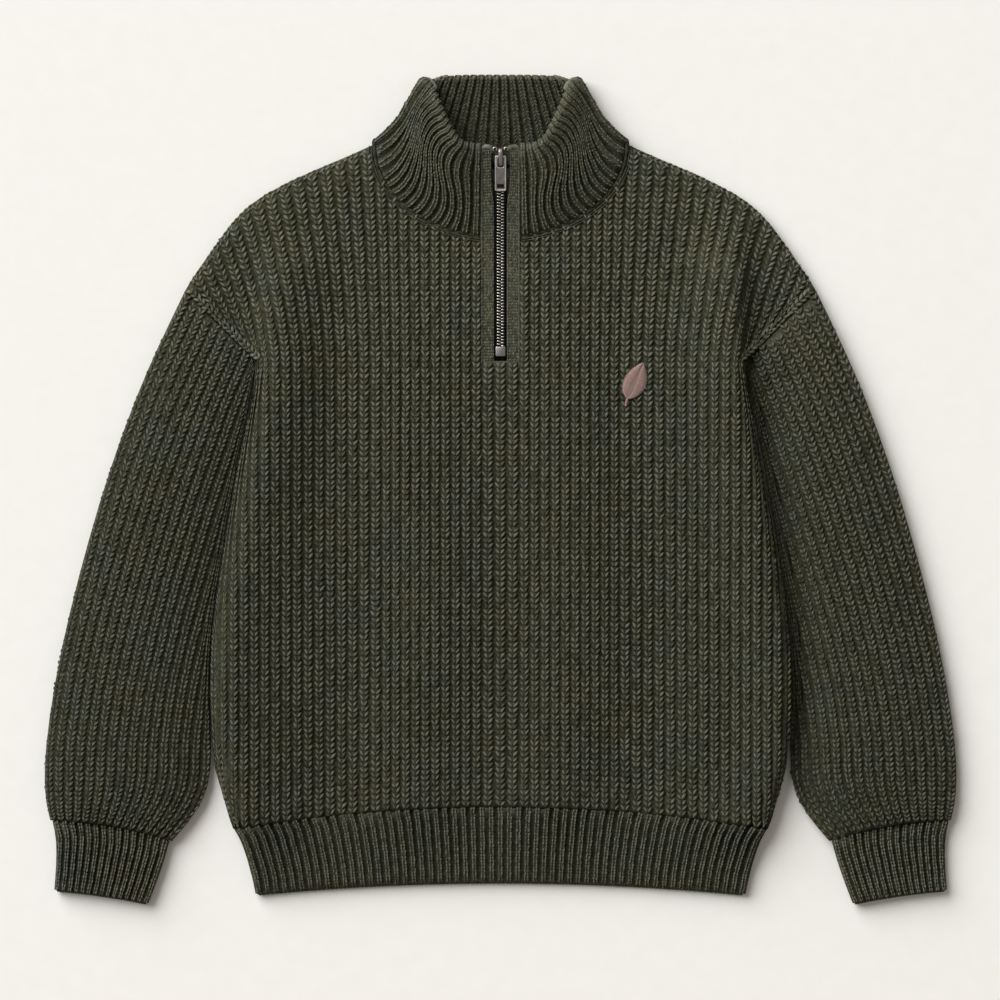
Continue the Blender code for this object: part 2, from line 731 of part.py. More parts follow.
def collar_seam(rib):
    """Centre of the collar wall at the neck seam, from the zip to the centre back."""
    low, high = COLLAR_SEAM_Z
    if rib <= COLLAR_FRONT_RIBS:
        start = math.degrees(math.asin(COLLAR_EDGE_X / NECK_HALF_WIDTH))
        turn = math.radians(
            start + (COLLAR_SEAM_TURN - start) * min(rib / COLLAR_SEAM_RIBS, 1.0)
        )
        around = min(rib / COLLAR_SEAM_RIBS, 1.0) ** 4
        inset = COLLAR_SEAM_INSET + (COLLAR_SIDE_INSET - COLLAR_SEAM_INSET) * around
        x = (NECK_HALF_WIDTH - inset) * math.sin(turn)
        y = NECK_CENTRE_Y - (NECK_DROP - inset) * math.cos(turn)
        if rib > COLLAR_SEAM_RIBS:
            t = (rib - COLLAR_SEAM_RIBS) / (COLLAR_FRONT_RIBS - COLLAR_SEAM_RIBS)
            x += (COLLAR_FOLD_SEAM[0] - x) * t + COLLAR_SEAM_BULGE * math.sin(math.pi * t)
            y += (COLLAR_FOLD_SEAM[1] - y) * t
        return x, y, low + (high - low) * (rib / COLLAR_FRONT_RIBS) ** 2
    if rib < COLLAR_FOLD_END:
        return fold_point(rib, COLLAR_FOLD_SEAM, SEAM_FOLD_OUT, high, COLLAR_SEAM_WALL / 2)
    share = (COLLAR_RIBS - rib) / (COLLAR_RIBS - COLLAR_FOLD_END)
    x = share * COLLAR_FOLD_SEAM[0]
    y = back_top_y(x) + COLLAR_SEAM_INSET + (COLLAR_FOLD_SEAM[1] - back_top_y(COLLAR_FOLD_SEAM[0])
                                             - COLLAR_SEAM_INSET) * share**4
    return x, y, COLLAR_SEAM_WALL / 2


def fold_point(rib, base, outward, high, low):
    """A point of the half circle in which the collar's front turns into its back."""
    turn = math.pi * (rib - COLLAR_FRONT_RIBS) / (COLLAR_FOLD_END - COLLAR_FRONT_RIBS)
    radius = (high - low) / 2
    out = radius * math.sin(turn)
    return (
        base[0] + outward[0] * out,
        base[1] + outward[1] * out,
        (high + low) / 2 + radius * math.cos(turn),
    )


rim_front = smooth_table(COLLAR_RIM_FRONT)


def collar_rim(rib):
    """Centre of the collar's rounded rim, from the zip to the centre back."""
    if rib <= COLLAR_FRONT_RIBS:
        return tuple(rim_front(rib))
    x, y, high = COLLAR_RIM_FRONT[-1][1:]
    if rib < COLLAR_FOLD_END:
        return fold_point(rib, (x, y), RIM_FOLD_OUT, high, COLLAR_RIM_WALL / 2)
    share = (COLLAR_RIBS - rib) / (COLLAR_RIBS - COLLAR_FOLD_END)
    centre_y, side_y = COLLAR_BACK_RIM_Y
    level = centre_y + (side_y - centre_y) * share**2
    return share * x, level + (y - side_y) * share**6, COLLAR_RIM_WALL / 2


def collar_centre(rib, height):
    seam, rim = np.array(collar_seam(rib)), np.array(collar_rim(rib))
    near_fold = eased((rib - 7) / 6) * eased((COLLAR_RIBS - 3 - rib) / 5)
    waist = COLLAR_WAIST * near_fold * math.sin(math.pi * height)
    return seam + (rim - seam) * height + waist * np.array([*COLLAR_WAIST_IN, 0.0])


def collar_section(rib, crest):
    """One closed section of the collar wall: up the outside, over the rim, down the inside."""
    step = 0.25
    seam, rim = collar_centre(rib, 0.0), collar_centre(rib, 1.0)
    up = (rim - seam) / np.linalg.norm(rim - seam)
    outer_rise = COLLAR_RISE * crest * (1 - eased((rib - COLLAR_FRONT_RIBS) / 1.5))
    inner_rise = COLLAR_RISE * crest * eased((rib - COLLAR_FOLD_END) / 1.5)
    bow = COLLAR_BOW * eased(rib / 3) * (1 - eased((rib - 10) / 3))
    outside, inside = [], []
    for height in COLLAR_HEIGHTS:
        before = collar_centre(max(rib - step, 0.0), height)
        after = collar_centre(min(rib + step, COLLAR_RIBS), height)
        normal = np.cross(after - before, up)
        if rib == 0.0:
            normal[0] = 0.0
        if height == 0.0:
            level = np.array([up[0], up[1], 0.0])
            level /= np.linalg.norm(level)
            normal -= level * normal.dot(level)
        normal /= np.linalg.norm(normal)
        half = (COLLAR_SEAM_WALL + (COLLAR_RIM_WALL - COLLAR_SEAM_WALL) * height) / 2
        middle = collar_centre(rib, height) + normal * bow * math.sin(math.pi * height)
        seam_fade = eased(height / 0.22) * 0.5 + 0.5
        outside.append(middle + normal * (half + outer_rise * seam_fade))
        inside.append(middle - normal * (half + inner_rise * eased(height / 0.4)))
    rise = max(outer_rise, inner_rise)
    lip = [
        rim
        + up * math.cos(math.radians(turn)) * (half + rise * 0.6)
        + normal * math.sin(math.radians(turn)) * (half + (outer_rise if turn > 0 else inner_rise))
        for turn in RIM_TURNS
    ]
    points = [*outside, *lip, *reversed(inside)]
    return [(p[0], p[1], max(p[2], 0.0)) for p in points]


def collar(collection, surface):
    half = [collar_section(k / 2, k % 2) for k in range(2 * COLLAR_RIBS + 1)]
    mirrored = [[(-x, y, z) for x, y, z in section] for section in half[-2::-1]]
    return loft("collar", collection, surface, half + mirrored)


# ---------------------------------------------------------------- placket and zip

zip_line = smooth_table(ZIP_LINE)


def zip_z(y):
    return float(zip_line(y)[0])


def line_stations(low_y, high_y):
    return [low_y, *(y for y, _ in ZIP_LINE if low_y < y < high_y), high_y]


def strip(name, collection, surface, stations, x0, x1, low, high, corner=0.0):
    """A strip along the zip line, its outline given by its sides and by its top and underside."""
    sections = []
    for y in stations:
        z = zip_z(y)
        section = [(x0, y, z + low), (x1, y, z + low), (x1, y, z + high - corner)]
        if corner:
            section += [(x1 - corner, y, z + high), (x0 + corner, y, z + high)]
        section += [(x0, y, z + high - corner)]
        sections.append(section)
    return loft(name, collection, surface, sections)


def placket(name, collection, surface, side):
    """The plain band beside the zip, its top end rounded over."""
    stations = line_stations(*(ZIP_LINE[i][0] for i in (0, -1)))
    ends = [(y, zip_z(y), 1.0, 1.0) for y in stations]
    top_y, top_z = ZIP_LINE[-1]
    slope = (ZIP_LINE[-1][1] - ZIP_LINE[-2][1]) / (ZIP_LINE[-1][0] - ZIP_LINE[-2][0])
    ends += [
        (top_y + beyond, top_z + slope * beyond, thick, wide)
        for beyond, thick, wide in PLACKET_TOP_ROUND
    ]
    middle_z = (PLACKET_LOW + PLACKET_HIGH) / 2
    middle_x = (PLACKET_INNER + PLACKET_OUTER) / 2
    sections = []
    for y, z, thick, wide in ends:
        half_z = (PLACKET_HIGH - PLACKET_LOW) / 2 * thick
        half_x = (PLACKET_OUTER - PLACKET_INNER) / 2 * wide
        low, high = z + middle_z - half_z, z + middle_z + half_z
        left, right = middle_x - half_x, middle_x + half_x
        corner = PLACKET_ROUND * thick
        sections.append([
            (side * left, y, low), (side * right, y, low), (side * right, y, high - corner),
            (side * (right - corner), y, high), (side * (left + corner), y, high),
            (side * left, y, high - corner),
        ])
    return loft(name, collection, surface, sections)


def slider_frame(collection):
    """An empty on the tab's hinge line, tilted with the zip's slope."""
    made = bpy.data.objects.new("slider_frame", None)
    slope = math.atan2(zip_z(HINGE_Y + 4) - zip_z(HINGE_Y - 4), 8.0)
    made.location = (0, HINGE_Y * MM, (zip_z(HINGE_Y) + HINGE_RISE) * MM)
    made.rotation_euler = (slope, 0, 0)
    collection.objects.link(made)
    return made


def slider(collection, tools, surface):
    """The slider's body with its crown, a bridge that holds the tab's bar."""
    body = block(
        "zip_slider", collection, surface,
        (-SLIDER_HALF, SLIDER_FRONT, SLIDER_LOW), (SLIDER_HALF, SLIDER_BACK, SLIDER_HIGH), 0.6,
    )
    crown = block(
        "crown_tool", tools, surface,
        (-CROWN_HALF, CROWN_FRONT, SLIDER_HIGH - 0.4), (CROWN_HALF, CROWN_BACK, CROWN_OUTER), 0.5,
    )
    gap = block(
        "crown_gap_tool", tools, surface,
        (-CROWN_HALF - 1, CROWN_FRONT + CROWN_POST, SLIDER_HIGH),
        (CROWN_HALF + 1, CROWN_BACK - CROWN_POST, CROWN_INNER),
    )
    cut(body, crown, "UNION")
    cut(body, gap, "DIFFERENCE")
    return [body, crown, gap]


def pull_tab(collection, tools, surface):
    """The tab: a plate with a window round the crown and a small slot near its free end."""
    half = TAB_THICK / 2
    tab = block(
        "zip_pull_tab", collection, surface,
        (-TAB_HALF, TAB_END, -half), (TAB_HALF, TAB_TOP, half), 0.3,
    )
    made = [tab]
    for name, half_width, top, end in (
        ("tab_window_tool", TAB_WINDOW_HALF, TAB_WINDOW_TOP, TAB_WINDOW_END),
        ("tab_slot_tool", TAB_SLOT_HALF, TAB_SLOT_TOP, TAB_SLOT_END),
    ):
        opening = block(name, tools, surface, (-half_width, end, -2), (half_width, top, 2))
        cut(tab, opening, "DIFFERENCE")
        made.append(opening)
    return made


def zip_parts(collection, tools, surfaces):
    bottom_y, top_y = ZIP_LINE[0][0], ZIP_LINE[-1][0]
    whole = line_stations(bottom_y, top_y)
    for word, side in (("left", 1), ("right", -1)):
        placket(f"placket_{word}", collection, surfaces["placket"], side)
        strip(
            f"zip_tape_{word}", collection, surfaces["tape"], whole,
            side * TAPE_INNER, side * TAPE_OUTER, -TAPE_THICK, 0.0,
        )
    strip(
        "zip_chain", collection, surfaces["nickel"], line_stations(CHAIN_BOTTOM_Y, CHAIN_TOP_Y),
        -CHAIN_HALF, CHAIN_HALF, CHAIN_LOW, CHAIN_HIGH, corner=0.6,
    )
    strip(
        "zip_bottom_stop", collection, surfaces["gunmetal"],
        line_stations(STOP_BOTTOM_Y, STOP_TOP_Y), -STOP_HALF, STOP_HALF, CHAIN_LOW, STOP_HIGH,
        corner=0.7,
    )
    frame = slider_frame(collection)
    for made in slider(collection, tools, surfaces["gunmetal"]):
        made.parent = frame
    for made in pull_tab(collection, tools, surfaces["gunmetal"]):
        made.parent = frame
        made.rotation_euler = (math.radians(TAB_DROOP), 0, 0)
    return frame


# ---------------------------------------------------------------- the whole

def clear_scene():
    for old in list(bpy.data.objects):
        bpy.data.objects.remove(old, do_unlink=True)


def main():
    clear_scene()
    sweater = bpy.data.collections.new("quarter_zip_sweater")
    tools = bpy.data.collections.new("cutters")
    for collection in (sweater, tools):
        bpy.context.scene.collection.children.link(collection)
    knit = material("rib_knit", KNIT, 0.9)
    band = material("band_knit", KNIT_DARK, 0.9)
    surfaces = {
        "placket": material("placket_knit", KNIT, 0.9),
        "tape": material("zip_tape", TAPE_COLOUR, 0.8),
        "nickel": material("nickel", NICKEL, 0.35, 1.0),
        "gunmetal": material("gunmetal", GUNMETAL, 0.4, 1.0),
    }
    front_panel(sweater, knit)
    back_panel(sweater, knit)
    hem(sweater, band)
    sleeves(sweater, knit, band)
    collar(sweater, band)
    zip_parts(sweater, tools, surfaces)
    for made in sweater.objects:
        if made.parent is None:
            made.location.y += CENTRE_Y * MM


main()
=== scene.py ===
"""Looks of the quarter zip sweater: yarn, ribs, seams, zip, floor, light and camera.

The sweater lies on z = 0 with its front up. Lengths are in millimetres in the sweater's own
frame until a mesh is made; there they become metres and move by CENTRE_Y, as the model does.
"""

import math

import bmesh
import bpy
import numpy as np
from mathutils import Matrix, Vector
from mathutils.bvhtree import BVHTree

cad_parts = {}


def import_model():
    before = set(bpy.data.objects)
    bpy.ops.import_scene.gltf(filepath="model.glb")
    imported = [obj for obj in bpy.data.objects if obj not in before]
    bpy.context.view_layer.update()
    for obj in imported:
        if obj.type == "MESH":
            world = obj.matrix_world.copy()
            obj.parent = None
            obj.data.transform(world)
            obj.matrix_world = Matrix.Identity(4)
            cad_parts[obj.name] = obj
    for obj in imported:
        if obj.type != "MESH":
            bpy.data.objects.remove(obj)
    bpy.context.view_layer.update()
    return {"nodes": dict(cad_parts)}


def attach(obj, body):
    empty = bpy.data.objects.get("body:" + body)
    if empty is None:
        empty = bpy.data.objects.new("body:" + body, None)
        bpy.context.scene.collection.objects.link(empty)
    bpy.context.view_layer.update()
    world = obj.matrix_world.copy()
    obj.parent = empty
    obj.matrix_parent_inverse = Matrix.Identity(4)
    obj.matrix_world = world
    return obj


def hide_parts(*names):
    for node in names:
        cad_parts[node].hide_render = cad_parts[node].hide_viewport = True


MM = 0.001
CENTRE_Y = 0.95
BODY = "garment"
UP = (0, 0, 1.0)
SIDES = (("left", 1), ("right", -1))  # the wearer's sides, and the sign of x on each

# Front panel, as in the model.
ARMPIT_Y, ARMPIT_X = 114.0, 218.0
SHOULDER_END = (283.5, 178.0)
BODY_SIDE = (  # y, half width
    (-305.5, 240.3), (-294, 244.8), (-283.5, 250), (-265, 254.5), (-240, 258), (-205, 261),
    (-151, 261.3), (-100, 255.5), (-55, 248.6), (17, 236.5), (76, 224.6), (ARMPIT_Y, ARMPIT_X),
)
SHOULDER = (  # x, y
    (113.4, 310), (135, 299.7), (161.6, 288.9), (185.9, 278.1), (206.6, 267.3), (223.2, 256.5),
    (235.4, 245.7), (244.8, 234.9), (252.5, 224.1), (260.6, 213.3), (267.3, 202.5),
    (275.4, 191.7), SHOULDER_END,
)
NECK_CENTRE_Y, NECK_HALF_WIDTH, NECK_DROP = 307.0, 113.4, 81.0
BACK_NECK_Y, BACK_NECK_RISE = 289.0, 18.0
NECK_CORNER = (114.0, 310.0)
NOTCH_HALF, NOTCH_RIBS, CLOTH_HALF = 16.8, 3, 261.3
NOTCH_SHARE = NOTCH_HALF / CLOTH_HALF
NECK_SIDE_RIBS, BODY_SIDE_RIBS = 10, 16
NECK_SHRINK, SIDE_SHRINK = 0.92, 0.86
YOKE_LEAN, YOKE_RISE = 3.0, 1.4
GATHER, GATHER_HIGH = 12.0, 44.0

# Hem, sleeves and cuffs, as in the model.
HEM_TOP_Y, HEM_TOP_SAG, HEM_TOP_HALF = -285.3, 20.0, 240.0
HEM_BOTTOM_Y, HEM_BOTTOM_SAG = -352.8, 11.0
HEM_SIDE = (  # share of the way down, half width
    (0.0, 239.6), (0.17, 233.8), (0.36, 229.8), (0.55, 226.2), (0.73, 223.2), (1.0, 220.4),
)
HEM_RIBS = 57
SLEEVE_GAP = 1.0
BESIDE_BODY = None        # an inner x that keeps SLEEVE_GAP to the body's side
SLEEVE = (  # outer x, outer y, inner x, inner y, bow, rib pitch
    (283.9, 177.3, 219.0, 113.0, 0.0, 9.3),
    (308.3, 127.0, BESIDE_BODY, 63.0, 1.0, 9.3),
    (327.2, 84.0, BESIDE_BODY, 32.0, 1.0, 9.3),
    (351.0, 19.0, BESIDE_BODY, -18.0, 1.0, 9.3),
    (370.4, -46.0, BESIDE_BODY, -70.0, 1.0, 9.3),
    (387.5, -111.0, BESIDE_BODY, -124.0, 1.0, 9.3),
    (401.4, -175.5, BESIDE_BODY, -183.0, 1.0, 9.3),
    (409.4, -235.0, BESIDE_BODY, -238.0, 1.5, 9.34),
    (410.0, -262.0, 262.0, -268.0, 3.0, 9.25),
    (408.4, -283.0, 274.0, -292.0, 4.5, 8.4),
    (404.6, -297.7, 295.4, -316.4, 5.0, 6.94),
)
SLEEVE_RIBS, SLEEVE_GATHER, SLEEVE_BEYOND = 16, 9.0, 1.6
CUFF = (  # outer x, outer y, inner x, inner y, bow, rib pitch
    (402.6, -298.4, 297.6, -316.4, 5.0, 7.0),
    (398.7, -316.0, 301.6, -332.0, 3.6, 6.5),
    (399.4, -340.0, 309.6, -355.0, 2.2, 6.0),
    (401.0, -360.0, 316.4, -372.2, 1.4, 5.7),
)
CUFF_RIBS = 15

# Collar, as in the model. Stations count its ribs from the zip to the centre back.
COLLAR_SEAM_WALL, COLLAR_RIM_WALL = 6.0, 9.2
COLLAR_RISE, COLLAR_EDGE_X, COLLAR_RIBS = 1.5, 17.2, 25
COLLAR_FRONT_RIBS, COLLAR_FOLD_END = 14.0, 16.0
COLLAR_SEAM_INSET, COLLAR_SIDE_INSET = 0.5, 2.0
COLLAR_SEAM_TURN, COLLAR_SEAM_RIBS, COLLAR_SEAM_BULGE = 70.0, 11.6, 2.2
COLLAR_SEAM_Z = (9.7, 9.5)
COLLAR_RIM_FRONT = (  # rib, x, y, z
    (0.0, COLLAR_EDGE_X, 304.5, 21.0), (2.6, 31.5, 305.4, 21.0), (4.5, 40.0, 311.3, 20.6),
    (7.0, 47.5, 323.5, 19.8), (10.0, 55.5, 339.5, 18.0), (12.6, 62.0, 353.0, 15.8),
    (COLLAR_FRONT_RIBS, 65.3, 359.6, 14.4),
)
COLLAR_FOLD_SEAM = (110.8, 308.3)
SEAM_FOLD_OUT, RIM_FOLD_OUT = (0.55, 0.835), (0.86, 0.51)
COLLAR_WAIST, COLLAR_WAIST_IN = 4.5, (-0.759, -0.652)
COLLAR_BACK_RIM_Y = (364.8, 365.6)
COLLAR_BOW = 1.6
COLLAR_HEIGHTS = np.linspace(0, 1, 12)
RIM_TURNS = (75.0, 50.0, 25.0, 0.0, -25.0, -50.0, -75.0)
RIB_STEPS = 10            # steps across a rib of the collar's own surface
BEND_LOW, BEND_HIGH = 0.7, 1.5  # ribs that the collar's ribs sway by, near its seam and its rim
CORNER_RIBS = (12.6, 18.4)  # ribs between which the rim folds
CORNER = 0.9              # turn between two faces from which their edge stays sharp

# Soft relief of the cloth's upper side.
FOLD_HIGH, FOLD_PITCH, FOLD_AT = 3.0, 133.0, -70.0
RIDGE_INNER = 60.0
LEFT_RIDGE = (16.0, 8.0, 16.0)        # height, inset from the side, run down to it
RIGHT_RIDGE = (12.0, 20.0, 27.0)
SLEEVE_CROWN, SLEEVE_SLOPE, LEFT_SLEEVE_SINK, RIGHT_SLEEVE_SINK = 5.0, 42.0, 8.5, 1.5
COLLAR_STAND, COLLAR_UP = 10.0, 2.4   # how far the collar's rim stands out, and rises

# Ranges over which something grows: from where, and over what length.
RELIEF_GROWTH = (6.5, 4.0)            # by height, so that the underside stays flat
HEM_GROWTH, CUFF_GROWTH = (-352.0, 90.0), (-318.0, 60.0)
RIDGE_END, FOLD_CALM, FOLD_END = (185.0, 65.0), (40.0, 80.0), (190.0, 60.0)
BESIDE_ZIP, ALONG_ZIP = (22.0, 30.0), (60.0, 45.0)
CROWN_GROWTH, SINK_GROWTH = (0.0, 90.0), (0.0, 30.0)
WAIST_GROWTH, WAIST_END = (7.0, 6.0), (17.0, 5.0)
OUTER_RIBS_END, INNER_RIBS_GROWTH = (15.0, 1.2), (14.0, 2.5)
BOW_GROWTH, BOW_END = (0.0, 3.0), (10.0, 3.0)
SWAY_GROWTH, SWAY_END = (0.0, 5.0), (9.0, 7.0)
STAND_GROWTH, STAND_END, UP_GROWTH = (0.0, 5.0), (10.0, 4.5), (8.0, 6.0)
SEAM_RIBS, INSIDE_RIBS, BROAD_RIBS = (0.0, 0.22), (0.0, 0.4), (0.78, 0.2)
PARTING_GROWTH, PARTING_END = (256.0, 14.0), (300.0, 8.0)
SLEEVE_CLOSE, CLOSED_BY = (5.0, 7.0), 0.45  # the inner ribs' legs close up, by a share

# Zip, as in the model. The line is the top face of the zip tape, as y and z.
ZIP_LINE = (
    (114.5, 9.2), (150, 9.3), (185, 9.5), (208, 10.0), (222, 10.9), (236, 12.4), (250, 14.35),
    (270, 17.3), (290, 20.25), (304.3, 22.35),
)
PLACKET_INNER, PLACKET_OUTER, PLACKET_HIGH, SLIDER_PARTING = 5.5, 16.75, 2.2, 3.0
CHAIN_BOTTOM_Y, CHAIN_TOP_Y = 128.4, 290.2
HINGE_Y, HINGE_RISE, TAB_DROOP = 298.0, 5.5, 3.4
TOOTH_PITCH, TOOTH_TURN, TOOTH_BEVEL = 2.7, 5.0, 0.5
TEETH = (  # side, how far up the first stands, low and high corner of a tooth
    (1, 0.0, (0.5, -0.62, 0.2), (3.3, 0.62, 2.2)),
    (-1, 1.35, (-3.3, -0.66, 0.2), (0.3, 0.66, 2.4)),
)

# Stitches.
ROWS_TO_ARMPIT = 81
ROW = (ARMPIT_Y - HEM_TOP_Y) / ROWS_TO_ARMPIT
SLEEVE_ROWS = 97
BAND_ROW = 3.1
FULL_HALF = 4.7           # half width of a rib whose yarn has its full thickness

# One leg of a stitch, from foot to shoulder: across (of half width), along (of row), out,
# half width and half height of the yarn. Its first and last rows are points.
BODY_LEG = (
    (-0.02, -0.14, -1.2, 0.0, 0.0),
    (0.12, 0.06, -0.05, 0.92, 0.85),
    (0.40, 0.42, 0.35, 1.18, 1.05),
    (0.66, 0.80, -0.20, 0.90, 0.85),
    (0.78, 1.06, -1.4, 0.0, 0.0),
)
BAND_LEG = (
    (0.27, -0.24, -0.4, 0.0, 0.0),
    (0.31, 0.10, 0.15, 0.66, 0.70),
    (0.34, 0.50, 0.34, 0.80, 0.85),
    (0.34, 0.90, 0.15, 0.66, 0.70),
    (0.32, 1.24, -0.4, 0.0, 0.0),
)
INSIDE_LEG = (
    (0.15, -0.20, -0.8, 0.0, 0.0),
    (0.22, 0.10, 0.00, 0.70, 0.65),
    (0.42, 0.50, 0.30, 0.95, 0.85),
    (0.52, 0.88, 0.00, 0.70, 0.65),
    (0.50, 1.15, -0.8, 0.0, 0.0),
)
FINE_LEG = (
    (0.05, -0.25, -0.5, 0.0, 0.0),
    (0.25, 0.10, 0.0, 0.50, 0.42),
    (0.50, 0.50, 0.12, 0.62, 0.50),
    (0.75, 0.90, 0.0, 0.50, 0.42),
    (0.95, 1.25, -0.5, 0.0, 0.0),
)
# Painted light along a leg: its darker ends are painted shade where it dives under its neighbours.
LEG_PAINTED_LIGHT = (0.2, 0.68, 1.0, 0.5, 0.0)  # how far each place of a leg stands in the light
BAND_LEG_PAINTED_LIGHT = (0.25, 0.72, 1.0, 0.72, 0.25)
SLIM = 0.45               # a rib narrower than this share of a full one shows a single strand
SINGLE_LEAST = 0.55       # thickness of the slimmest single strand


# ---------------------------------------------------------------- tables and curves

def smooth_table(rows):
    """A function running smoothly through rows of (key, values...), with no overshoot."""
    data = np.array(sorted(rows), float)
    keys, values = data[:, 0], data[:, 1:]
    chords = np.diff(values, axis=0) / np.diff(keys)[:, None]
    slopes = np.vstack([chords[:1], (chords[:-1] + chords[1:]) / 2, chords[-1:]])
    inner = slopes[1:-1]
    inner[chords[:-1] * chords[1:] <= 0] = 0.0

    def at(key):
        key = float(min(max(key, keys[0]), keys[-1]))
        i = int(min(max(np.searchsorted(keys, key) - 1, 0), len(keys) - 2))
        step = keys[i + 1] - keys[i]
        t = (key - keys[i]) / step
        return (
            (1 + 2 * t) * (1 - t) ** 2 * values[i]
            + t * (1 - t) ** 2 * step * slopes[i]
            + t * t * (3 - 2 * t) * values[i + 1]
            + t * t * (t - 1) * step * slopes[i + 1]
        )

    return at


def gathered(place, whole, width, zone):
    """A place among columns over a whole width, closed up at the fold where less shows."""
    if whole <= width:
        return place * width / whole
    start = width - zone
    if place <= start:
        return place
    surplus = (whole - start) / zone - 1
    over = place - start
    return start + over / (1 + surplus * over / (whole - start))


def eased(share):
    share = min(max(share, 0.0), 1.0)
    return share * share * (3 - 2 * share)


def grown(value, growth):
    """A share that grows softly from 0 to 1 over a range."""
    start, over = growth
    return eased((value - start) / over)


def passing(value, growth, end):
    """A share that grows over one range and goes again over another."""
    return grown(value, growth) * (1 - grown(value, end))


def unit(vector):
    return vector / np.linalg.norm(vector)


def units(vectors):
    return vectors / np.linalg.norm(vectors, axis=-1, keepdims=True)


def lengths(points):
    """How far along a line of points each of them lies."""
    steps = np.linalg.norm(np.diff(points, axis=0), axis=1)
    return np.concatenate([[0.0], np.cumsum(steps)])


def evened(path):
    """A path whose inner heights are the means of themselves and both neighbours."""
    path = np.array(path)
    path[1:-1, 2] = (path[:-2, 2] + path[1:-1, 2] + path[2:, 2]) / 3
    return path


def upward(path):
    """A path with its outward directions straight up, as a cord takes it."""
    return path, np.tile(UP, (len(path), 1))


def in_metres(points):
    """Places in the scene of points in the sweater's frame, none of them under the floor."""
    points = (points + (0, CENTRE_Y, 0)) * MM
    points[:, 2] = np.maximum(points[:, 2], 0.0)
    return points


def solved(test, low, high):
    """The value between low and high up to which a test holds."""
    for _ in range(40):
        middle = (low + high) / 2
        if test(middle):
            low = middle
        else:
            high = middle
    return low


def shrinking(start, end, count, last):
    steps = np.linspace(1.0, last, count)
    return start + (end - start) * np.cumsum(steps) / steps.sum()


body_side = smooth_table(BODY_SIDE)
shoulder_line = smooth_table(SHOULDER)
hem_side = smooth_table(HEM_SIDE)
rim_front = smooth_table(COLLAR_RIM_FRONT)
zip_line = smooth_table(ZIP_LINE)
sleeve_outer = smooth_table([(row[1], row[0]) for row in SLEEVE])
sleeve_inner = smooth_table([(row[3], row[2]) for row in SLEEVE if row[2] is not BESIDE_BODY])


def side_x(y):
    if y <= ARMPIT_Y:
        return float(body_side(y)[0])
    lean = (SHOULDER_END[0] - ARMPIT_X) / (SHOULDER_END[1] - ARMPIT_Y)
    return ARMPIT_X + (y - ARMPIT_Y) * lean


def column_x(share, y):
    """Where a rib column stands: upright in the body, leaning out towards the shoulder."""
    up = max(y - ARMPIT_Y, 0.0) / (SHOULDER_END[1] - ARMPIT_Y)
    lean = (SHOULDER_END[0] - CLOTH_HALF) * up**YOKE_RISE
    place = CLOTH_HALF * abs(share) + lean * abs(share) ** YOKE_LEAN
    if up < 1:
        zone = GATHER + (GATHER_HIGH - GATHER) * up
        place = gathered(place, CLOTH_HALF + lean, side_x(y), zone)
    return math.copysign(place, share)


def front_top_y(x):
    """The neckline, or the shoulder beyond it."""
    x = abs(x)
    if x < NECK_HALF_WIDTH:
        return NECK_CENTRE_Y - NECK_DROP * math.sqrt(1 - (x / NECK_HALF_WIDTH) ** 2)
    return float(shoulder_line(x)[0])


def back_top_y(x):
    x = abs(x)
    if x < NECK_HALF_WIDTH:
        return BACK_NECK_Y + BACK_NECK_RISE * (x / NECK_HALF_WIDTH) ** 2
    return float(shoulder_line(x)[0])


def hem_seam_y(x):
    return HEM_TOP_Y - HEM_TOP_SAG * (x / HEM_TOP_HALF) ** 2


def hem_point(share, down):
    x = share * float(hem_side(down)[0])
    top = hem_seam_y(x) - 0.3
    return x, top + (HEM_BOTTOM_Y - HEM_BOTTOM_SAG * share**2 - top) * down


def zip_z(y):
    return float(zip_line(y)[0])


def body_lift(x, y):
    """Relief of the front: soft upright folds, and a ridge before it rolls down at each side."""
    high, inset, run = LEFT_RIDGE if x > 0 else RIGHT_RIDGE
    x, side = x - FOLD_AT, abs(x)
    crest = side_x(min(y, ARMPIT_Y)) - inset
    to_ridge = eased((side - crest + RIDGE_INNER) / RIDGE_INNER)
    ridge = to_ridge * (1 - grown(side, (crest, run))) * (1 - grown(y, RIDGE_END))
    calm = (1 - 0.6 * grown(y, FOLD_CALM)) * (1 - grown(y, FOLD_END)) * (1 - to_ridge)
    beside_zip = 1 - (1 - grown(side, BESIDE_ZIP)) * grown(y, ALONG_ZIP)
    fold = math.cos(2 * math.pi * (x + 10 * math.sin(y / 60)) / FOLD_PITCH)
    return grown(y, HEM_GROWTH) * (high * ridge + FOLD_HIGH * calm * beside_zip * fold)


def sleeve_lift(x, y):
    """Relief of a sleeve: a soft crown, and a slope down to the body's side."""
    side = abs(x)
    inner = side_x(y) if y > -262 else float(sleeve_inner(y)[0])
    across = (side - inner) / (float(sleeve_outer(y)[0]) - inner)
    armhole = (side - ARMPIT_X) * 0.7 - (y - ARMPIT_Y) * 0.71
    sink = LEFT_SLEEVE_SINK if x > 0 else RIGHT_SLEEVE_SINK
    arch = math.sin(math.pi * min(max(across, 0.0), 1.0))
    crown = SLEEVE_CROWN * grown(armhole, CROWN_GROWTH) * arch
    sunk = sink * grown(armhole, SINK_GROWTH) * (1 - grown(side, (inner, SLEEVE_SLOPE)))
    return grown(y, CUFF_GROWTH) * (crown - sunk)


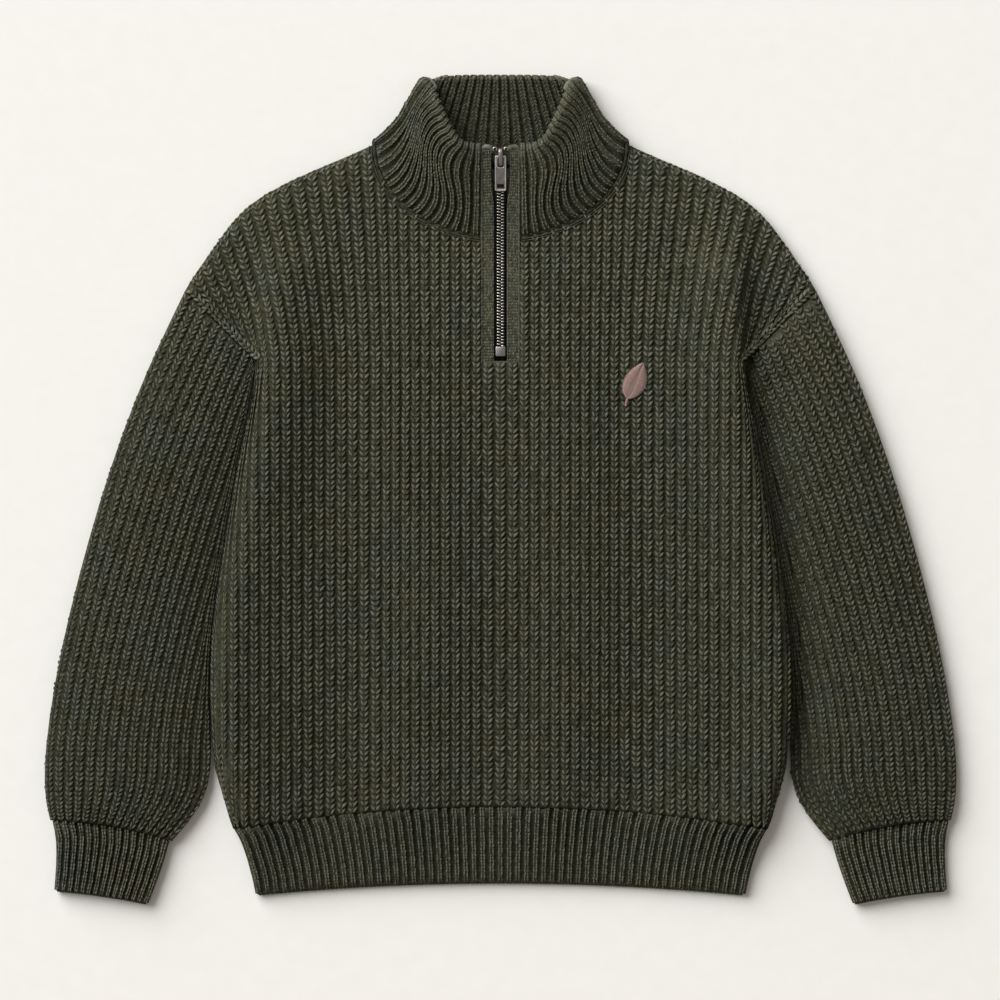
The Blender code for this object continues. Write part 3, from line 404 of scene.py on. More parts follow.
def rib_edges():
    """Shares of the half width at which the body's ribs meet."""
    corner = solved(lambda s: column_x(s, NECK_CORNER[1]) < NECK_CORNER[0], 0.0, 1.0)
    outward = [
        *shrinking(NOTCH_SHARE, corner, NECK_SIDE_RIBS, NECK_SHRINK),
        *shrinking(corner, 1.0, BODY_SIDE_RIBS, SIDE_SHRINK),
    ]
    middle = np.linspace(-NOTCH_SHARE, NOTCH_SHARE, NOTCH_RIBS + 1)
    return [*(-s for s in reversed(outward)), *middle, *outward]


# ---------------------------------------------------------------- surfaces and meshes

class Surface:
    """The outside of some pieces, to lay yarn on, in the sweater's frame."""

    ASIDE, ONWARD = 0.6, 0.3  # most sideways and least onwards that a step rolls, as its shares

    def __init__(self, *pieces):
        bpy.context.view_layer.update()
        graph = bpy.context.evaluated_depsgraph_get()
        points, faces = [], []
        for piece in pieces:
            mesh = piece.evaluated_get(graph).to_mesh()
            start = len(points)
            points += [v.co / MM - Vector((0, CENTRE_Y, 0)) for v in mesh.vertices]
            faces += [[start + v for v in p.vertices] for p in mesh.polygons]
        self.tree = BVHTree.FromPolygons(points, faces)

    def top(self, x, y, otherwise=None):
        hit = self.tree.ray_cast(Vector((x, y, 100.0)), Vector((0, 0, -1)))
        return otherwise if hit[0] is None else hit[0].z

    def roll(self, point, heading, lowest, step=1.1, most=11):
        """Places and outward directions from a point on, over the edge and down the side."""
        places, outs = [], []
        ahead = unit(heading[:2])
        while len(places) < most:
            heading = unit(heading)
            hit, normal = self.tree.find_nearest(Vector(point + heading * step))[:2]
            hit = np.array(hit)
            move = hit - point
            aside = abs(ahead[0] * move[1] - ahead[1] * move[0])
            onward = np.linalg.norm(move)
            if hit[2] < lowest or aside > step * self.ASIDE or onward < step * self.ONWARD:
                break
            heading, point = hit - point, hit
            places.append(hit)
            outs.append(np.array(normal))
        return np.reshape(places, (-1, 3)), np.reshape(outs, (-1, 3))


def add_object(name, mesh, surface, body=BODY):
    mesh.materials.clear()
    mesh.materials.append(surface)
    made = bpy.data.objects.new(name, mesh)
    bpy.context.scene.collection.objects.link(made)
    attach(made, body)
    return made


def mesh_from(name, points, faces):
    """A smooth mesh in metres from points in the sweater's frame."""
    mesh = bpy.data.meshes.new(name)
    mesh.from_pydata(in_metres(np.asarray(points, float)).tolist(), [], faces)
    mesh.shade_smooth()
    return mesh


def grid_faces(rows, columns, closed=False):
    """Faces of a grid of points numbered row by row; closed joins its last column to its first."""
    count = columns if closed else columns - 1
    return [
        (r * columns + c, r * columns + (c + 1) % columns,
         (r + 1) * columns + (c + 1) % columns, (r + 1) * columns + c)
        for r in range(rows - 1) for c in range(count)
    ]


def marked(mesh, **marks):
    """A mesh whose points carry values that materials read: tone, depth or crest."""
    for word, values in marks.items():
        mark = mesh.attributes.new(word, "FLOAT", "POINT")
        mark.data.foreach_set("value", np.asarray(values, np.float32))
    return mesh


def tube_mesh(name, paths, radius, sides=6, flat=1.0, beads=0.0):
    """Round cords along paths of (points, outs), with pointed ends."""
    points, faces = [], []
    for path, outs in paths:
        path, outs = np.asarray(path, float), np.asarray(outs, float)
        heading = units(np.gradient(path, axis=0))
        side = units(np.cross(heading, outs))
        up = np.cross(side, heading)
        start = len(points)
        for i in range(len(path)):
            size = radius * (0.35 if i in (0, len(path) - 1) else 1.0 + beads * (i % 2))
            for s in range(sides):
                turn = 2 * math.pi * s / sides
                points.append(path[i] + size * (side[i] * math.cos(turn)
                                                + up[i] * math.sin(turn) * flat))
        faces += [tuple(start + v for v in f) for f in grid_faces(len(path), sides, closed=True)]
        faces.append(tuple(start + s for s in range(sides)))
        last = start + (len(path) - 1) * sides
        faces.append(tuple(last + s for s in reversed(range(sides))))
    rng = np.random.default_rng(len(points))
    tone = np.repeat(rng.random(len(points) // sides), sides)
    return marked(mesh_from(name, points, faces), tone=tone, depth=np.ones(len(points)))


def cords(name, paths, radius, surface, slot, **shape):
    """An object of round cords, each along its own path."""
    add_object(name, tube_mesh(name, paths, radius, **shape), surface)


class Course:
    """A rib's way over the cloth: points, outward directions and half widths, each with a key.

    The keys are lengths along the points, unless others are given.
    """

    def __init__(self, points, outs, halves, keys=None):
        self.points, self.outs = np.asarray(points, float), units(np.asarray(outs, float))
        self.halves = np.asarray(halves, float)
        self.keys = lengths(self.points) if keys is None else np.asarray(keys, float)

    def at(self, keys):
        def look(values):
            return np.interp(keys, self.keys, values)

        points = np.stack([look(self.points[:, i]) for i in range(3)], axis=1)
        outs = units(np.stack([look(self.outs[:, i]) for i in range(3)], axis=1))
        return points, outs, look(self.halves)


class Yarn:
    """Gathers stitches, each of one or two lofted strands, and makes one mesh of them."""

    def __init__(self, name, surface, slot, leg, sides=5, full=FULL_HALF, depths=LEG_PAINTED_LIGHT):
        self.name, self.surface, self.slot, self.depths = name, surface, slot, depths
        self.leg, self.sides, self.full = np.array(leg, float), sides, full
        self.rows = []

    def lay(self, course, keys, thick=1.0, spread=1.0):
        """A stitch between each two of the keys along a course; a slim rib has one strand."""
        keys = np.asarray(keys, float)
        if len(keys) < 2:
            return
        points, _, _ = course.at(keys)
        _, outs, halves = course.at((keys[1:] + keys[:-1]) / 2)
        along = np.diff(points, axis=0)
        across = units(np.cross(along, outs)) * halves[:, None]
        outs = units(np.cross(across, along))
        fullness = halves / self.full
        slim = fullness < SLIM
        single = np.maximum(fullness * 2.5, SINGLE_LEAST)
        girth = np.where(slim, single, np.minimum(fullness, 1.08)) * thick
        across[slim] *= 0.15
        spreads = np.full(len(halves), spread)
        for hand, shown in ((-1.0, ~slim), (1.0, fullness > 0.09)):
            hands = np.full(len(halves), hand)
            rows = np.column_stack([points[:-1], across, along, outs, girth, hands, spreads])
            self.rows.append(rows[shown])

    def build(self, rng):
        """Makes the strands, each a little different, and one object of them all."""
        data = np.concatenate(self.rows)
        place, across, along, out = (data[:, i:i + 3] for i in (0, 3, 6, 9))
        girth, hand, spread = data[:, 12], data[:, 13], data[:, 14]
        middle = self.leg[:, 0].mean()
        count, rings, sides = len(data), len(self.leg) - 2, self.sides
        sway = 1 + rng.normal(0, 0.115, (count, 2))
        lift = rng.normal(0, 0.14, count) * girth
        girth = girth * (1 + rng.normal(0, 0.10, count))
        centres = np.stack([
            place
            + across * ((middle + (u - middle) * spread) * hand * sway[:, 0])[:, None]
            + along * (v * sway[:, 1])[:, None]
            + out * (w * girth + lift)[:, None]
            for u, v, w, _, _ in self.leg
        ], axis=1)
        heading = units(centres[:, 2:] - centres[:, :-2])
        side = units(np.cross(heading, out[:, None, :]))
        up = np.cross(side, heading)
        points = np.empty((count, rings * sides + 2, 3))
        for r in range(rings):
            half_width, half_height = self.leg[r + 1, 3] * girth, self.leg[r + 1, 4] * girth
            for s in range(sides):
                turn = 2 * math.pi * (s + 0.5) / sides
                points[:, r * sides + s] = (
                    centres[:, r + 1]
                    + side[:, r] * (math.cos(turn) * half_width)[:, None]
                    + up[:, r] * (math.sin(turn) * half_height)[:, None]
                )
        points[:, -2], points[:, -1] = centres[:, 0], centres[:, -1]
        self.join(points, rings, rng.random(count))

    def join(self, points, rings, tone):
        """Makes one object of all the strands, with a place for each in the baked texture."""
        count, each = points.shape[:2]
        cells, places = self.leg_faces(rings)
        sizes = np.array([len(c) for c in cells])
        loops = np.concatenate([np.array(c) for c in cells])
        starts = np.arange(count)[:, None]
        all_loops = (loops[None, :] + starts * each).ravel()
        totals = np.tile(sizes, count)
        mesh = bpy.data.meshes.new(self.name)
        world = in_metres(points.reshape(-1, 3))
        mesh.vertices.add(count * each)
        mesh.vertices.foreach_set("co", world.astype(np.float32).ravel())
        mesh.loops.add(len(all_loops))
        mesh.loops.foreach_set("vertex_index", all_loops.astype(np.int32))
        mesh.polygons.add(len(totals))
        loop_starts = np.concatenate([[0], np.cumsum(totals)[:-1]])
        mesh.polygons.foreach_set("loop_start", loop_starts.astype(np.int32))
        mesh.polygons.foreach_set("use_smooth", np.ones(len(totals), bool))
        mesh.update(calc_edges=True)
        across = math.ceil(math.sqrt(count))
        index = np.arange(count)
        corner = np.stack([index % across, index // across], 1)[:, None, :]
        local = np.concatenate([np.array(p) for p in places])
        uv = (corner + 0.08 + 0.84 * local[None, :, :]) / across
        layer = mesh.uv_layers.new(name="OFBake")
        layer.data.foreach_set("uv", uv.reshape(-1).astype(np.float32))
        # painted light of each ring and both tips of every leg
        depth = [*np.repeat(self.depths[1:-1], self.sides), self.depths[0], self.depths[-1]]
        marked(mesh, tone=np.repeat(tone, each), depth=np.tile(depth, count))
        add_object(self.name, mesh, self.surface)

    def leg_faces(self, rings):
        """Faces of one leg, and where each corner of them lies in the unrolled leg."""
        sides, first, last = self.sides, rings * self.sides, rings * self.sides + 1
        cells, places = [], []
        for s in range(sides):
            t = (s + 1) % sides
            left, right = s / sides, (s + 1) / sides
            for r in range(rings - 1):
                low, high = r * sides, (r + 1) * sides
                a, b = (r + 1) / (rings + 1), (r + 2) / (rings + 1)
                cells.append((low + s, low + t, high + t, high + s))
                places.append([(left, a), (right, a), (right, b), (left, b)])
            top = (rings - 1) * sides
            a, b = 1 / (rings + 1), rings / (rings + 1)
            cells += [(first, t, s), (top + s, top + t, last)]
            places += [[(left, 0.0), (right, a), (left, a)], [(left, b), (right, b), (left, 1.0)]]
        return cells, places


# ---------------------------------------------------------------- materials

SHADER = "Principled BSDF"


def node_material(name, roughness=0.9, metallic=0.0, specular=0.12):
    made = bpy.data.materials.new(name)
    made.use_nodes = True
    inputs = made.node_tree.nodes[SHADER].inputs
    inputs["Roughness"].default_value = roughness
    inputs["Metallic"].default_value = metallic
    inputs["Specular IOR Level"].default_value = specular
    return made, made.node_tree


def fill(tree, socket, value):
    """Links a node's input to another node's output, or gives it a value."""
    if isinstance(value, bpy.types.NodeSocket):
        tree.links.new(value, socket)
    elif value is not None:
        socket.default_value = value


def node(tree, kind, **inputs):
    made = tree.nodes.new(f"ShaderNode{kind}")
    for name, value in inputs.items():
        fill(tree, made.inputs[name], value)
    return made


def object_place(tree, stretch=None):
    place = node(tree, "TexCoord").outputs["Object"]
    if stretch is None:
        return place
    return node(tree, "Mapping", Scale=stretch, Vector=place).outputs["Vector"]


def noise(tree, place, scale, detail=2.0, rough=0.5):
    made = node(tree, "TexNoise", Scale=scale, Detail=detail, Roughness=rough, Vector=place)
    return made.outputs["Fac"]


def ramp(tree, value, stops):
    made = node(tree, "ValToRGB", Fac=value)
    elements = made.color_ramp.elements
    while len(elements) < len(stops):
        elements.new(0.5)
    for element, (at, colour) in zip(elements, stops):
        element.position = at
        element.color = (*colour, 1.0)
    return made.outputs["Color"]


def grey_ramp(tree, value, stops):
    return ramp(tree, value, [(at, (level, level, level)) for at, level in stops])


def multiplied(tree, first, second, factor=1.0):
    made = node(tree, "Mix")
    made.data_type = "RGBA"
    made.blend_type = "MULTIPLY"
    for name, value in (("Factor", factor), ("A", first), ("B", second)):
        fill(tree, made.inputs[name], value)
    return made.outputs["Result"]


def calculated(tree, operation, first, second=None):
    made = node(tree, "Math")
    made.operation = operation
    for socket, value in zip(made.inputs, (first, second)):
        fill(tree, socket, value)
    return made.outputs["Value"]


def attribute(tree, name):
    made = node(tree, "Attribute")
    made.attribute_name = name
    return made.outputs["Fac"]


def axes_of(tree, place):
    return node(tree, "SeparateXYZ", Vector=place).outputs


def finished(made, colour, height, strength, distance):
    """A material with its colour, and with a bump where its height changes."""
    tree = made.node_tree
    inputs = tree.nodes[SHADER].inputs
    fill(tree, inputs["Base Color"], colour)
    bump = node(tree, "Bump", Strength=strength, Distance=distance, Height=height)
    fill(tree, inputs["Normal"], bump.outputs["Normal"])
    return made


YARN_DARK, YARN_LIGHT, YARN_BRIGHT = (
    (0.064, 0.064, 0.041), (0.124, 0.1245, 0.088), (0.146, 0.147, 0.112)
)


def heather(tree, place):
    """Slow drifts of bluish and brownish fibre through the yarn, and painted light that grows
    higher up the sweater.
    """
    drift = ramp(tree, noise(tree, place, 30.0, 3.0), [
        (0.36, (0.95, 0.99, 1.08)), (0.46, (1.0, 1.0, 1.0)),
        (0.56, (1.0, 1.0, 1.0)), (0.66, (1.04, 1.0, 0.93)),
    ])
    # painted light: lighter towards the top of the sweater
    height = calculated(tree, "ADD", axes_of(tree, place)["Y"], 0.5)
    painted_light_higher_up = grey_ramp(tree, height, [(0.2, 0.76), (0.5, 0.84), (0.75, 1.0)])
    return multiplied(tree, drift, painted_light_higher_up)


def yarn_material(name, gain=1.0, tip_painted_shade=0.22, dark=YARN_DARK, bright=YARN_BRIGHT):
    """Heathered yarn: a tone for each stitch, and painted shade where it dives under its
    neighbours.
    """
    made, tree = node_material(name)
    place = object_place(tree)
    base = ramp(tree, attribute(tree, "tone"), [
        (at, [c * gain for c in colour])
        for at, colour in ((0.0, dark), (0.5, YARN_LIGHT), (1.0, bright))
    ])
    colour = multiplied(tree, base, heather(tree, place))
    # painted shade towards each leg's ends
    depth = ramp(tree, attribute(tree, "depth"), [
        (0.0, (tip_painted_shade, tip_painted_shade, tip_painted_shade * 0.75)), (0.5, (0.56, 0.56, 0.51)), (1.0, (1.0, 1.0, 1.0)),
    ])
    colour = multiplied(tree, colour, depth)
    fibres = noise(tree, place, 1500.0, 2.0, 0.6)
    grain = grey_ramp(tree, fibres, [(0.3, 0.7), (0.7, 1.3)])
    return finished(made, multiplied(tree, colour, grain, 0.7), fibres, 0.5, 0.0004)


def ground_material(name, valley, middle, crest):
    """The knit behind the stitches, dark as painted shade between them, with more painted shade in
    the valleys and painted light where an attribute marks a crest.
    """
    made, tree = node_material(name)
    place = object_place(tree)
    grain = noise(tree, place, 900.0, 3.0, 0.6)
    base = ramp(tree, attribute(tree, "crest"), [(0.15, valley), (0.6, middle), (1.0, crest)])
    loops = noise(tree, place, 330.0, 2.0, 0.6)
    spots = grey_ramp(tree, loops, [(0.35, 0.6), (0.5, 1.0), (0.65, 1.5)])
    base = multiplied(tree, base, spots)
    colour = multiplied(tree, base, heather(tree, place))
    speckle = grey_ramp(tree, grain, [(0.32, 0.6), (0.5, 1.0), (0.7, 1.55)])
    return finished(made, multiplied(tree, colour, speckle), grain, 0.7, 0.0008)


def plain_knit_material(name, across, along, light, dark):
    """Fine flat knit: small V stitches in columns, drawn by arithmetic on the place."""
    made, tree = node_material(name)
    place = object_place(tree)
    axes = axes_of(tree, place)

    def calc(operation, first, second=None):
        return calculated(tree, operation, first, second)

    column = calc("FRACT", calc("MULTIPLY", axes["X"], 1 / (across * MM)))
    off = calc("ABSOLUTE", calc("SUBTRACT", column, 0.5))
    row = calc("MULTIPLY", axes["Y"], 1 / (along * MM))
    slanted = calc("FRACT", calc("SUBTRACT", row, calc("MULTIPLY", off, 1.6)))
    leg = calc("SINE", calc("MULTIPLY", slanted, math.pi))
    edge = calc("SINE", calc("MULTIPLY", calc("FRACT", calc("MULTIPLY", off, 2.0)), math.pi))
    height = calc("MULTIPLY", leg, calc("POWER", edge, 0.4))
    colour = ramp(tree, height, [(0.1, dark), (0.9, light)])
    grain = grey_ramp(tree, noise(tree, place, 1200.0), [(0.3, 0.7), (0.7, 1.3)])
    colour = multiplied(tree, colour, heather(tree, place))
    return finished(made, multiplied(tree, colour, grain, 0.8), height, 0.8, 0.0007)


def tape_material():
    """Woven tape: a fine diagonal twill."""
    made, tree = node_material("zip_tape_weave", roughness=0.75)
    place = object_place(tree)
    wave = node(tree, "TexWave", Scale=700.0, Distortion=1.0, Vector=place)
    wave.bands_direction = "DIAGONAL"
    height = wave.outputs["Fac"]
    colour = grey_ramp(tree, height, [(0.0, 0.002), (1.0, 0.011)])
    return finished(made, colour, height, 0.6, 0.0003)


def metal_material(name, colour, roughness, stretch):
    """Metal with a fine brushed grain and worn patches."""
    made, tree = node_material(name, roughness, 1.0, 0.5)
    grain = noise(tree, object_place(tree, stretch), 900.0, 3.0, 0.6)
    wear = noise(tree, object_place(tree), 260.0, 3.0)
    base = ramp(tree, wear, [
        (0.3, [c * 0.8 for c in colour]), (0.7, [min(c * 1.15, 1.0) for c in colour]),
    ])
    streak = grey_ramp(tree, grain, [(0.3, 0.86), (0.7, 1.0)])
    brushed = multiplied(tree, base, streak)
    rough = calculated(tree, "ADD", calculated(tree, "MULTIPLY", grain, 0.2), roughness - 0.1)
    fill(tree, tree.nodes[SHADER].inputs["Roughness"], rough)
    return finished(made, brushed, grain, 0.15, 0.00005)


def thread_material(name, colour):
    """Satin embroidery thread."""
    made, tree = node_material(name, roughness=0.5, specular=0.4)
    grain = noise(tree, object_place(tree), 2200.0, 2.0, 0.6)
    base = ramp(tree, attribute(tree, "tone"), [
        (0.0, [c * 0.82 for c in colour]), (1.0, [c * 1.12 for c in colour]),
    ])
    shade = grey_ramp(tree, grain, [(0.3, 0.85), (0.7, 1.12)])
    return finished(made, multiplied(tree, base, shade), grain, 0.3, 0.0001)


# ---------------------------------------------------------------- cloth shells

def shell(frame, node, surfaces, levels=1, lift=None, part=None):
    """The cloth itself: the model's wall for a piece, its ribs rounded, plain knit beneath."""
    made = bpy.data.objects.new(f"{node}_cloth", frame["nodes"][node].data.copy())
    bpy.context.scene.collection.objects.link(made)
    bm = bmesh.new()
    bm.from_mesh(made.data)
    bmesh.ops.remove_doubles(bm, verts=bm.verts, dist=0.00001)
    for point in bm.verts:
        x, y, z = point.co / MM - Vector((0, CENTRE_Y, 0))
        if lift:
            point.co.z += lift(x, y) * grown(z, RELIEF_GROWTH) * MM
        if part:
            point.co.x = part(x, y) * MM
    bmesh.ops.recalc_face_normals(bm, faces=bm.faces)
    bm.normal_update()
    for face in bm.faces:
        face.material_index = 1 if face.normal.z < -0.2 else 0
        face.smooth = True
    crease = bm.edges.layers.float.new("crease_edge")
    for edge in bm.edges:
        edge[crease] = 1.0 if edge.calc_face_angle(0.0) > CORNER else 0.0
    # crest: how far a point stands out of its neighbours, which the ground material turns into
    # painted shade in hollows and painted light on crests
    crest = bm.verts.layers.float.new("crest")
    for point in bm.verts:
        around = [edge.other_vert(point).co for edge in point.link_edges]
        middle = sum(around, Vector()) / len(around)
        stand = (point.co - middle).dot(point.normal) / MM
        point[crest] = min(max(0.5 + stand * 0.6, 0.0), 1.0)
    bm.to_mesh(made.data)
    bm.free()
    made.data.materials.clear()
    for surface in surfaces:
        made.data.materials.append(surface)
    if levels:
        rounding = made.modifiers.new("rounding", "SUBSURF")
        rounding.levels = rounding.render_levels = levels
    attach(made, BODY)
    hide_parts(node)
    return made


# ---------------------------------------------------------------- body stitches

def column_course(top, shares, start, end, over_edge):
    """The way of a body rib's crest up to a panel's top edge, and down over the edge."""
    low, share, high = shares
    if over_edge:
        end = solved(lambda y: top.top(column_x(share, y), y) is not None, end - 6.0, end)
    ys = np.linspace(start, end - (0.5 if over_edge else 0.1), 160)
    points, tilts, halves = [], [], []
    z = 8.0
    for y in ys:
        limit = side_x(y) - 0.1 if y < SHOULDER_END[1] else 1e3
        x = column_x(share, y)
        x = min(max(x, 0.9 - limit), limit - 0.9)
        if abs(share) > 0.9 and y < ARMPIT_Y and top.top(x, y) is None:
            edge = solved(
                lambda d: top.top(math.copysign(d, x), y) is not None, abs(x) - 6, abs(x)
            )
            x = math.copysign(edge - 0.9, x)
        half = (column_x(high, y) - column_x(low, y)) / 2
        z = top.top(x, y, z)
        reach = max(half * 0.95, 1.0)
        left, right = max(x - reach, -limit), min(x + reach, limit)
        rise = top.top(right, y, z) - top.top(left, y, z)
        points.append((x, y, z))
        tilts.append(min(max(rise / max(right - left, 0.5), -2.5), 2.5))
        halves.append(half)
    points = np.array(points)
    heading = units(np.gradient(points, axis=0))
    across = units(np.column_stack([np.ones(len(tilts)), np.zeros(len(tilts)), tilts]))
    outs = np.cross(across, heading)
    lean = np.abs(np.cross(heading, across)).max(axis=1)
    halves = np.array(halves) * np.clip(lean, 0.6, 1)
    keys = np.concatenate([[0], np.cumsum(np.hypot(np.diff(points[:, 1]), np.diff(points[:, 2])))])
    if over_edge:
        places, ways = top.roll(points[-1], heading[-1], 1.6)
        beyond = lengths(np.vstack([points[-1:], places]))[1:]
        keys = np.concatenate([keys, keys[-1] + beyond])
        halves = np.concatenate([halves, np.full(len(places), halves[-1])])
        points, outs = np.vstack([points, places]), np.vstack([outs, ways])
    return Course(points, outs, halves, keys)


def body_stitches(top, surface, rng):
    """V stitches up the front's ribs, as one mesh for each third of its width."""
    edges = rib_edges()
    parts = [
        Yarn(f"front_stitches_{word}", surface, "knit", BODY_LEG)
        for word in ("right", "middle", "left")
    ]
    for k, (low, high) in enumerate(zip(edges, edges[1:])):
        share = (low + high) / 2
        start = HEM_TOP_Y
        for _ in range(12):
            start = hem_seam_y(column_x(share, start))
        if abs(share) < NOTCH_SHARE:
            end, over_edge = ARMPIT_Y, False
        else:
            end = solved(lambda y: y < front_top_y(column_x(share, y)), ARMPIT_Y, 330.0)
            over_edge = abs(column_x(share, end)) > NECK_HALF_WIDTH
        course = column_course(top, (low, share, high), start, end, over_edge)
        armpit = float(np.interp(ARMPIT_Y, course.points[:, 1], course.keys))
        keys = list(np.linspace(1.0, armpit, ROWS_TO_ARMPIT + 1))
        while keys[-1] + ROW < course.keys[-1] - (0.45 * ROW if over_edge else 0.4):
            keys.append(keys[-1] + ROW)
        parts[min(k * 3 // (len(edges) - 1), 2)].lay(course, keys)
    for part in parts:
        part.build(rng)


# ---------------------------------------------------------------- sleeves and bands

def tube_sections(rows):
    return [
        (ax, ay, side_x(by) + SLEEVE_GAP if bx is BESIDE_BODY else bx, by, bow, pitch)
        for ax, ay, bx, by, bow, pitch in rows
    ]


def section_point(section, along):
    """The place in plan at a distance along a section, from its outer fold to its inner one."""
    ax, ay, bx, by, bow, _ = section
    width = math.hypot(bx - ax, by - ay)
    share = along / width
    arch = 4 * bow * share * (1 - share)
    across = ((by - ay) / width, -(bx - ax) / width)
    return ax + (bx - ax) * share + across[0] * arch, ay + (by - ay) * share + across[1] * arch


def tube_course(top, rows, ribs, k, side, count, start, beyond=0.0):
    """The way of rib k up a sleeve or cuff, from a start near its lower end to beyond its top."""
    table = smooth_table([(i, *row) for i, row in enumerate(tube_sections(rows))])
    points, outs, halves = [], [], []
    z = 8.0
    for t in np.linspace(len(rows) - 1 - start, 0, count):
        section = table(t)
        ax, ay, bx, by, _, pitch = section
        width = math.hypot(bx - ax, by - ay)
        whole = max(ribs * pitch, width)
        edges = [
            gathered(whole * j / (2 * ribs), whole, width, SLEEVE_GATHER)
            for j in (2 * k, 2 * k + 1, 2 * k + 2)
        ]
        (lx, ly), (x, y), (hx, hy) = (section_point(section, along) for along in edges)
        z = top.top(side * x, y, z)
        low = top.top(side * (x + (lx - x) * 0.97), y + (ly - y) * 0.97, z)
        high = top.top(side * (x + (hx - x) * 0.97), y + (hy - y) * 0.97, z)
        across = unit(np.array([side * (hx - lx), hy - ly, high - low]))
        points.append((side * x, y, z))
        outs.append(across)
        halves.append(math.dist((lx, ly), (hx, hy)) / 2)
    points, outs = np.array(points), np.array(outs)
    points[-1] += unit(points[-1] - points[-3]) * beyond
    outs = np.cross(units(np.gradient(points, axis=0)), outs)
    outs[outs[:, 2] < 0] *= -1
    return Course(points, outs, halves, np.linspace(0, 1, count))


def sleeve_stitches(top, surface, rng, word, side):
    yarn = Yarn(f"sleeve_stitches_{word}", surface, "knit", BODY_LEG)
    courses = [
        tube_course(top, SLEEVE, SLEEVE_RIBS, k, side, 120, 0.05, SLEEVE_BEYOND)
        for k in range(SLEEVE_RIBS)
    ]
    middle = courses[SLEEVE_RIBS // 2]
    run = lengths(middle.points)
    keys = np.interp(np.linspace(0.5, run[-1] - 0.5, SLEEVE_ROWS + 1), run, middle.keys)
    for k, course in enumerate(courses):
        yarn.lay(course, keys, spread=1.0 - CLOSED_BY * grown(k, SLEEVE_CLOSE))
    yarn.build(rng)


def over_lower_edge(top, points, outs, halves):
    """A course that starts on the side of a band's lower edge and comes up over it."""
    places, ways = top.roll(points[0], points[0] - points[1], 1.2)
    points = np.vstack([places[::-1], points])
    outs = np.vstack([ways[::-1], outs])
    return Course(points, outs, [*[halves[0]] * len(places), *halves])


def cuff_stitches(top, surface, rng, word, side):
    yarn = Yarn(f"cuff_stitches_{word}", surface, "band_knit", BAND_LEG, 5, 3.4, BAND_LEG_PAINTED_LIGHT)
    for k in range(CUFF_RIBS):
        course = tube_course(top, CUFF, CUFF_RIBS, k, side, 24, 0.25)
        course = over_lower_edge(top, course.points, course.outs, course.halves)
        rows = round(course.keys[-1] / BAND_ROW)
        yarn.lay(course, np.linspace(0.0, course.keys[-1], rows + 1), thick=1.1)
    yarn.build(rng)


def hem_stitches(top, surface, rng):
    yarn = Yarn("hem_stitches", surface, "band_knit", BAND_LEG, 5, 3.9, BAND_LEG_PAINTED_LIGHT)
    for k in range(HEM_RIBS):
        low, share, high = (2 * (k + step) / HEM_RIBS - 1 for step in (0, 0.5, 1))
        points, outs, halves = [], [], []
        z = 7.0
        for down in np.linspace(0.93, 0.0, 28):
            x, y = hem_point(share, down)
            z = top.top(x, y, z)
            left, right = hem_point(low, down)[0], hem_point(high, down)[0]
            tilt = top.top(right - 0.1, y, z) - top.top(left + 0.1, y, z)
            points.append((x, y, z))
            outs.append((1.0, 0.0, tilt / (right - left)))
            halves.append((right - left) / 2)
        points = np.array(points)
        outs = np.cross(units(np.array(outs)), units(np.gradient(points, axis=0)))
        course = over_lower_edge(top, points, outs, halves)
        yarn.lay(course, np.linspace(0, course.keys[-1] - 0.3, 26), thick=0.9)
    yarn.build(rng)


def rolled_edge(name, places, surface):
    """A band's lower edge: a rolled cord with a small scallop at each line of stitches, in a
    dimmer yarn as painted shade.
    """
    path = [(x, y + 0.2, 2.6) for x, y in places]
    cords(name, [upward(path)], 2.1, surface, "band_knit", sides=8, beads=0.2)


def rolled_edges(surface):
    places = [hem_point(share, 1.0) for share in np.linspace(-0.992, 0.992, 4 * HEM_RIBS + 1)]
    rolled_edge("rolled_edge_hem", places, surface)
    section = CUFF[-1]
    width = math.dist(section[:2], section[2:4])
    alongs = np.linspace(1.4, width - 1.4, 4 * CUFF_RIBS + 1)
    for word, side in SIDES:
        places = [section_point(section, along) for along in alongs]
        rolled_edge(f"rolled_edge_cuff_{word}", [(side * x, y) for x, y in places], surface)


# ---------------------------------------------------------------- collar

def fold_point(rib, base, outward, high, low):
    """A point of the half circle in which the collar's front turns into its back."""
    turn = math.pi * (rib - COLLAR_FRONT_RIBS) / (COLLAR_FOLD_END - COLLAR_FRONT_RIBS)
    radius = (high - low) / 2
    out = radius * math.sin(turn)
    return (
        base[0] + outward[0] * out,
        base[1] + outward[1] * out,
        (high + low) / 2 + radius * math.cos(turn),
    )


